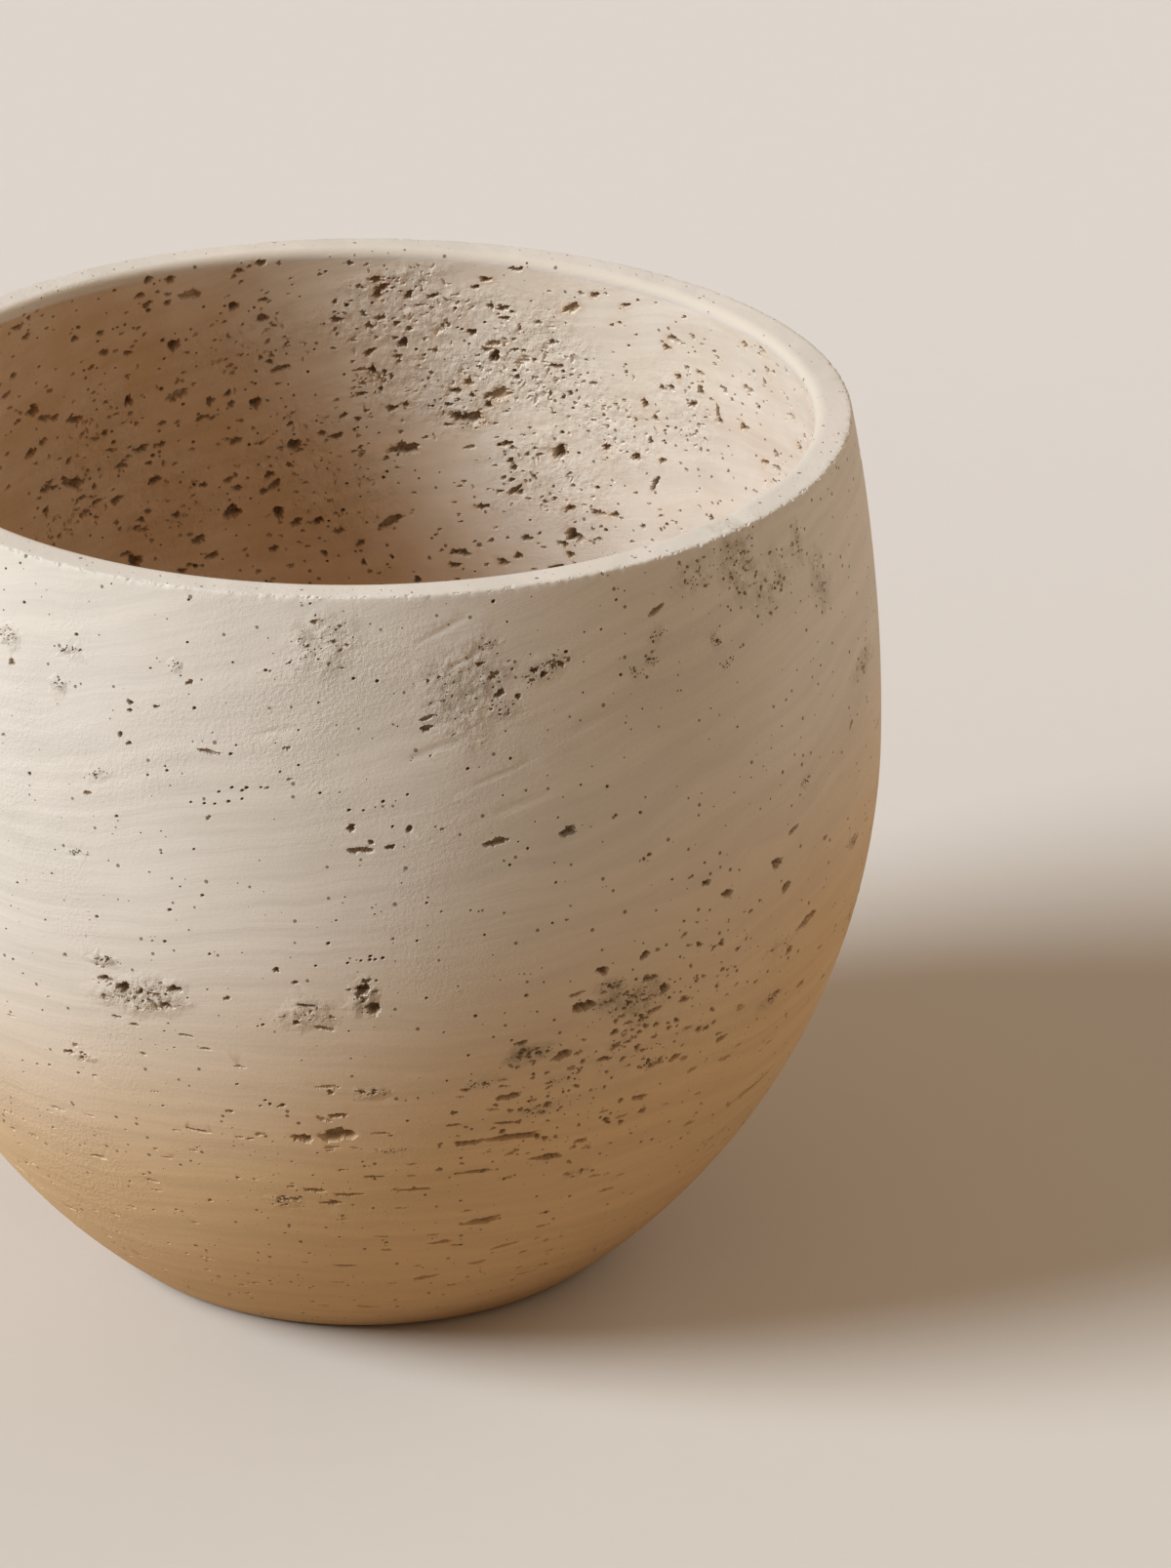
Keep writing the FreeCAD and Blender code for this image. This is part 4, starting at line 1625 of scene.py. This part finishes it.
@dataclass
class PotShell:
    """The stone vessel."""

    outline: Outline
    body: str = "pot"
    node: str = "pot_shell"
    material_slot: str = "stone"

    @classmethod
    def from_frame(cls) -> "PotShell":
        """Takes the sizes of the vessel from its solid."""
        low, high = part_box("pot_shell")
        return cls(Outline(height=high.z, widest_radius=(high.x - low.x) / 2, underside=low.z))

    def build(self) -> bpy.types.Object:
        """Makes the pitted mesh that stands for the solid."""
        skin = StoneSkin(self.outline)
        skin.mark()
        skin.scatter()
        skin.let_in_pads()
        piece = skin.build("stone_vessel")
        log.info("stone_vessel: %d hollows, %d faces", len(skin.voids), len(piece.data.polygons))
        return piece

    def dress(self, piece: bpy.types.Object, effects: SharedEffects) -> None:
        """Gives the mesh its finish and ties it to the frame."""
        piece.data.materials.append(STONE.material(effects))
        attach(piece, self.body)
        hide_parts(self.node)


@dataclass
class Fittings:
    """The moulded pieces, which keep the shape of their solids."""

    finishes: dict[str, MouldedFinish] = field(default_factory=lambda: {
        "drain_sleeve": SLEEVE,
        "drain_screen": SCREEN,
        "drain_plug": PLUG,
        **{name: PAD for name in PAD_NODES},
    })

    def dress(self, effects: SharedEffects) -> None:
        """Gives each solid its finish, with one material for each finish."""
        made: dict[str, bpy.types.Material] = {}
        for node, finish in self.finishes.items():
            if finish.name not in made:
                made[finish.name] = finish.material(effects)
            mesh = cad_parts[node].data
            mesh.materials.clear()
            mesh.materials.append(made[finish.name])
            log.info("%s: %s", node, finish.name)


@dataclass
class PhotoCamera:
    """The camera at the photograph's angle; sizes of the picture are in its own pixels."""

    place: tuple[float, float, float] = (0.0, -2.7027, 1.4024)
    pitch_deg: float = 24.134
    yaw_deg: float = 1.928
    roll_deg: float = 0.205
    focal_px: float = 7500.0
    picture_height_px: float = 1607.0
    sensor_mm: float = 36.0
    farthest: float = 50.0

    def build(self) -> bpy.types.Object:
        """Makes the camera and sets it as the scene's own."""
        pitch, yaw, roll = (math.radians(angle) for angle in (self.pitch_deg, self.yaw_deg, self.roll_deg))
        ahead = Vector((math.sin(yaw) * math.cos(pitch), math.cos(yaw) * math.cos(pitch), -math.sin(pitch)))
        level = Vector((math.cos(yaw), -math.sin(yaw), 0.0))
        upright = level.cross(ahead)
        right = math.cos(roll) * level + math.sin(roll) * upright
        up = math.cos(roll) * upright - math.sin(roll) * level
        data = bpy.data.cameras.new("photo_camera")
        data.sensor_fit = "VERTICAL"
        data.sensor_height = self.sensor_mm
        data.lens = self.sensor_mm * self.focal_px / self.picture_height_px
        data.clip_end = self.farthest
        camera = bpy.data.objects.new("photo_camera", data)
        turned = Matrix((right, up, -ahead)).transposed().to_4x4()
        camera.matrix_world = Matrix.Translation(self.place) @ turned
        bpy.context.scene.collection.objects.link(camera)
        bpy.context.scene.camera = camera
        return camera


@dataclass(frozen=True)
class Lamp:
    """One distant soft lamp that shines on the pot from a given side."""

    name: str
    turn_deg: float
    rise_deg: float
    strength: float
    softness_deg: float
    colour: Colour
    distance: float = 3.0

    def build(self) -> bpy.types.Object:
        """Hangs the lamp at its angle and points it at the pot."""
        turn, rise = math.radians(self.turn_deg), math.radians(self.rise_deg)
        away = Vector((math.sin(turn) * math.cos(rise), -math.cos(turn) * math.cos(rise), math.sin(rise)))
        data = bpy.data.lights.new(self.name, "SUN")
        data.energy = self.strength
        data.angle = math.radians(self.softness_deg)
        data.color = self.colour
        lamp = bpy.data.objects.new(self.name, data)
        lamp.location = away * self.distance
        lamp.rotation_euler = away.to_track_quat("Z", "Y").to_euler()
        bpy.context.scene.collection.objects.link(lamp)
        return lamp


@dataclass
class Studio:
    """Pale floor, soft light and an even surround."""

    floor_size: float = 14.0
    floor_colour: Colour = (0.650, 0.612, 0.562)
    floor_colour_far: Colour = (0.715, 0.682, 0.664)
    floor_bounce: Colour = (0.440, 0.345, 0.255)
    floor_far: Point = (-0.4, 1.3)
    floor_grain_scale: float = 60.0
    floor_grain_tint: float = 0.03
    floor_roughness: float = 0.9
    floor_specular: float = 0.1
    surround: Colour = (1.0, 0.715, 0.46)
    surround_level: float = 0.305
    seen_surround: Colour = (0.72, 0.665, 0.63)
    lamps: tuple[Lamp, ...] = (
        Lamp("key", turn_deg=-74.0, rise_deg=34.2, strength=3.85, softness_deg=26.0,
             colour=(0.88, 0.95, 1.0)),
        Lamp("side_fill", turn_deg=118.0, rise_deg=22.0, strength=0.85, softness_deg=60.0,
             colour=(1.0, 0.90, 0.78)),
    )

    def floor(self, effects: SharedEffects) -> bpy.types.Object:
        """Lays the floor."""
        half = self.floor_size / 2
        corners = [(-half, -half, 0), (half, -half, 0), (half, half, 0), (-half, half, 0)]
        mesh = bpy.data.meshes.new("floor")
        mesh.from_pydata(corners, [], [(0, 1, 2, 3)])
        floor = bpy.data.objects.new("floor", mesh)
        bpy.context.scene.collection.objects.link(floor)
        material, sheet, shader = new_material("pale floor")
        grain = sheet.group(effects.grain, Scale=self.floor_grain_scale, Tint=self.floor_grain_tint)
        depth = sheet.add("ShaderNodeSeparateXYZ", {0: sheet.place()}).outputs["Y"]
        tone = sheet.mix(sheet.ramp(depth, *self.floor_far), self.floor_colour, self.floor_colour_far)
        tone = sheet.mix(sheet.watched(), self.floor_bounce, sheet.tint(tone, grain.outputs["Tint"]))
        sheet.feed(shader.inputs["Base Color"], tone)
        shader.inputs["Roughness"].default_value = self.floor_roughness
        shader.inputs["Specular IOR Level"].default_value = self.floor_specular
        mesh.materials.append(material)
        return floor

    def surround_light(self) -> None:
        """Sets the even light from all round, and the pale tone that is seen there."""
        world = bpy.data.worlds.new("surround")
        bpy.context.scene.world = world
        world.use_nodes = True
        sheet = NodeSheet(world.node_tree)
        sheet.tree.nodes.clear()
        lit = sheet.add("ShaderNodeBackground", {"Color": self.surround, "Strength": self.surround_level})
        seen = sheet.add("ShaderNodeBackground", {"Color": self.seen_surround, "Strength": 1.0})
        both = sheet.add("ShaderNodeMixShader", {0: sheet.watched(), 1: lit.outputs[0], 2: seen.outputs[0]})
        sheet.add("ShaderNodeOutputWorld", {"Surface": both.outputs[0]})

    def build(self, effects: SharedEffects) -> None:
        """Sets up floor, lamps and surround."""
        bpy.context.scene.view_settings.view_transform = "Standard"
        self.floor(effects)
        self.surround_light()
        for lamp in self.lamps:
            lamp.build()


def main() -> None:
    """Builds and dresses the pieces, then the studio and the camera."""
    logging.basicConfig(level=logging.INFO, format="%(name)s: %(message)s")
    effects = SharedEffects()
    shell = PotShell.from_frame()
    shell.dress(shell.build(), effects)
    Fittings().dress(effects)
    Studio().build(effects)
    PhotoCamera().build()


if __name__ == "__main__":
    main()
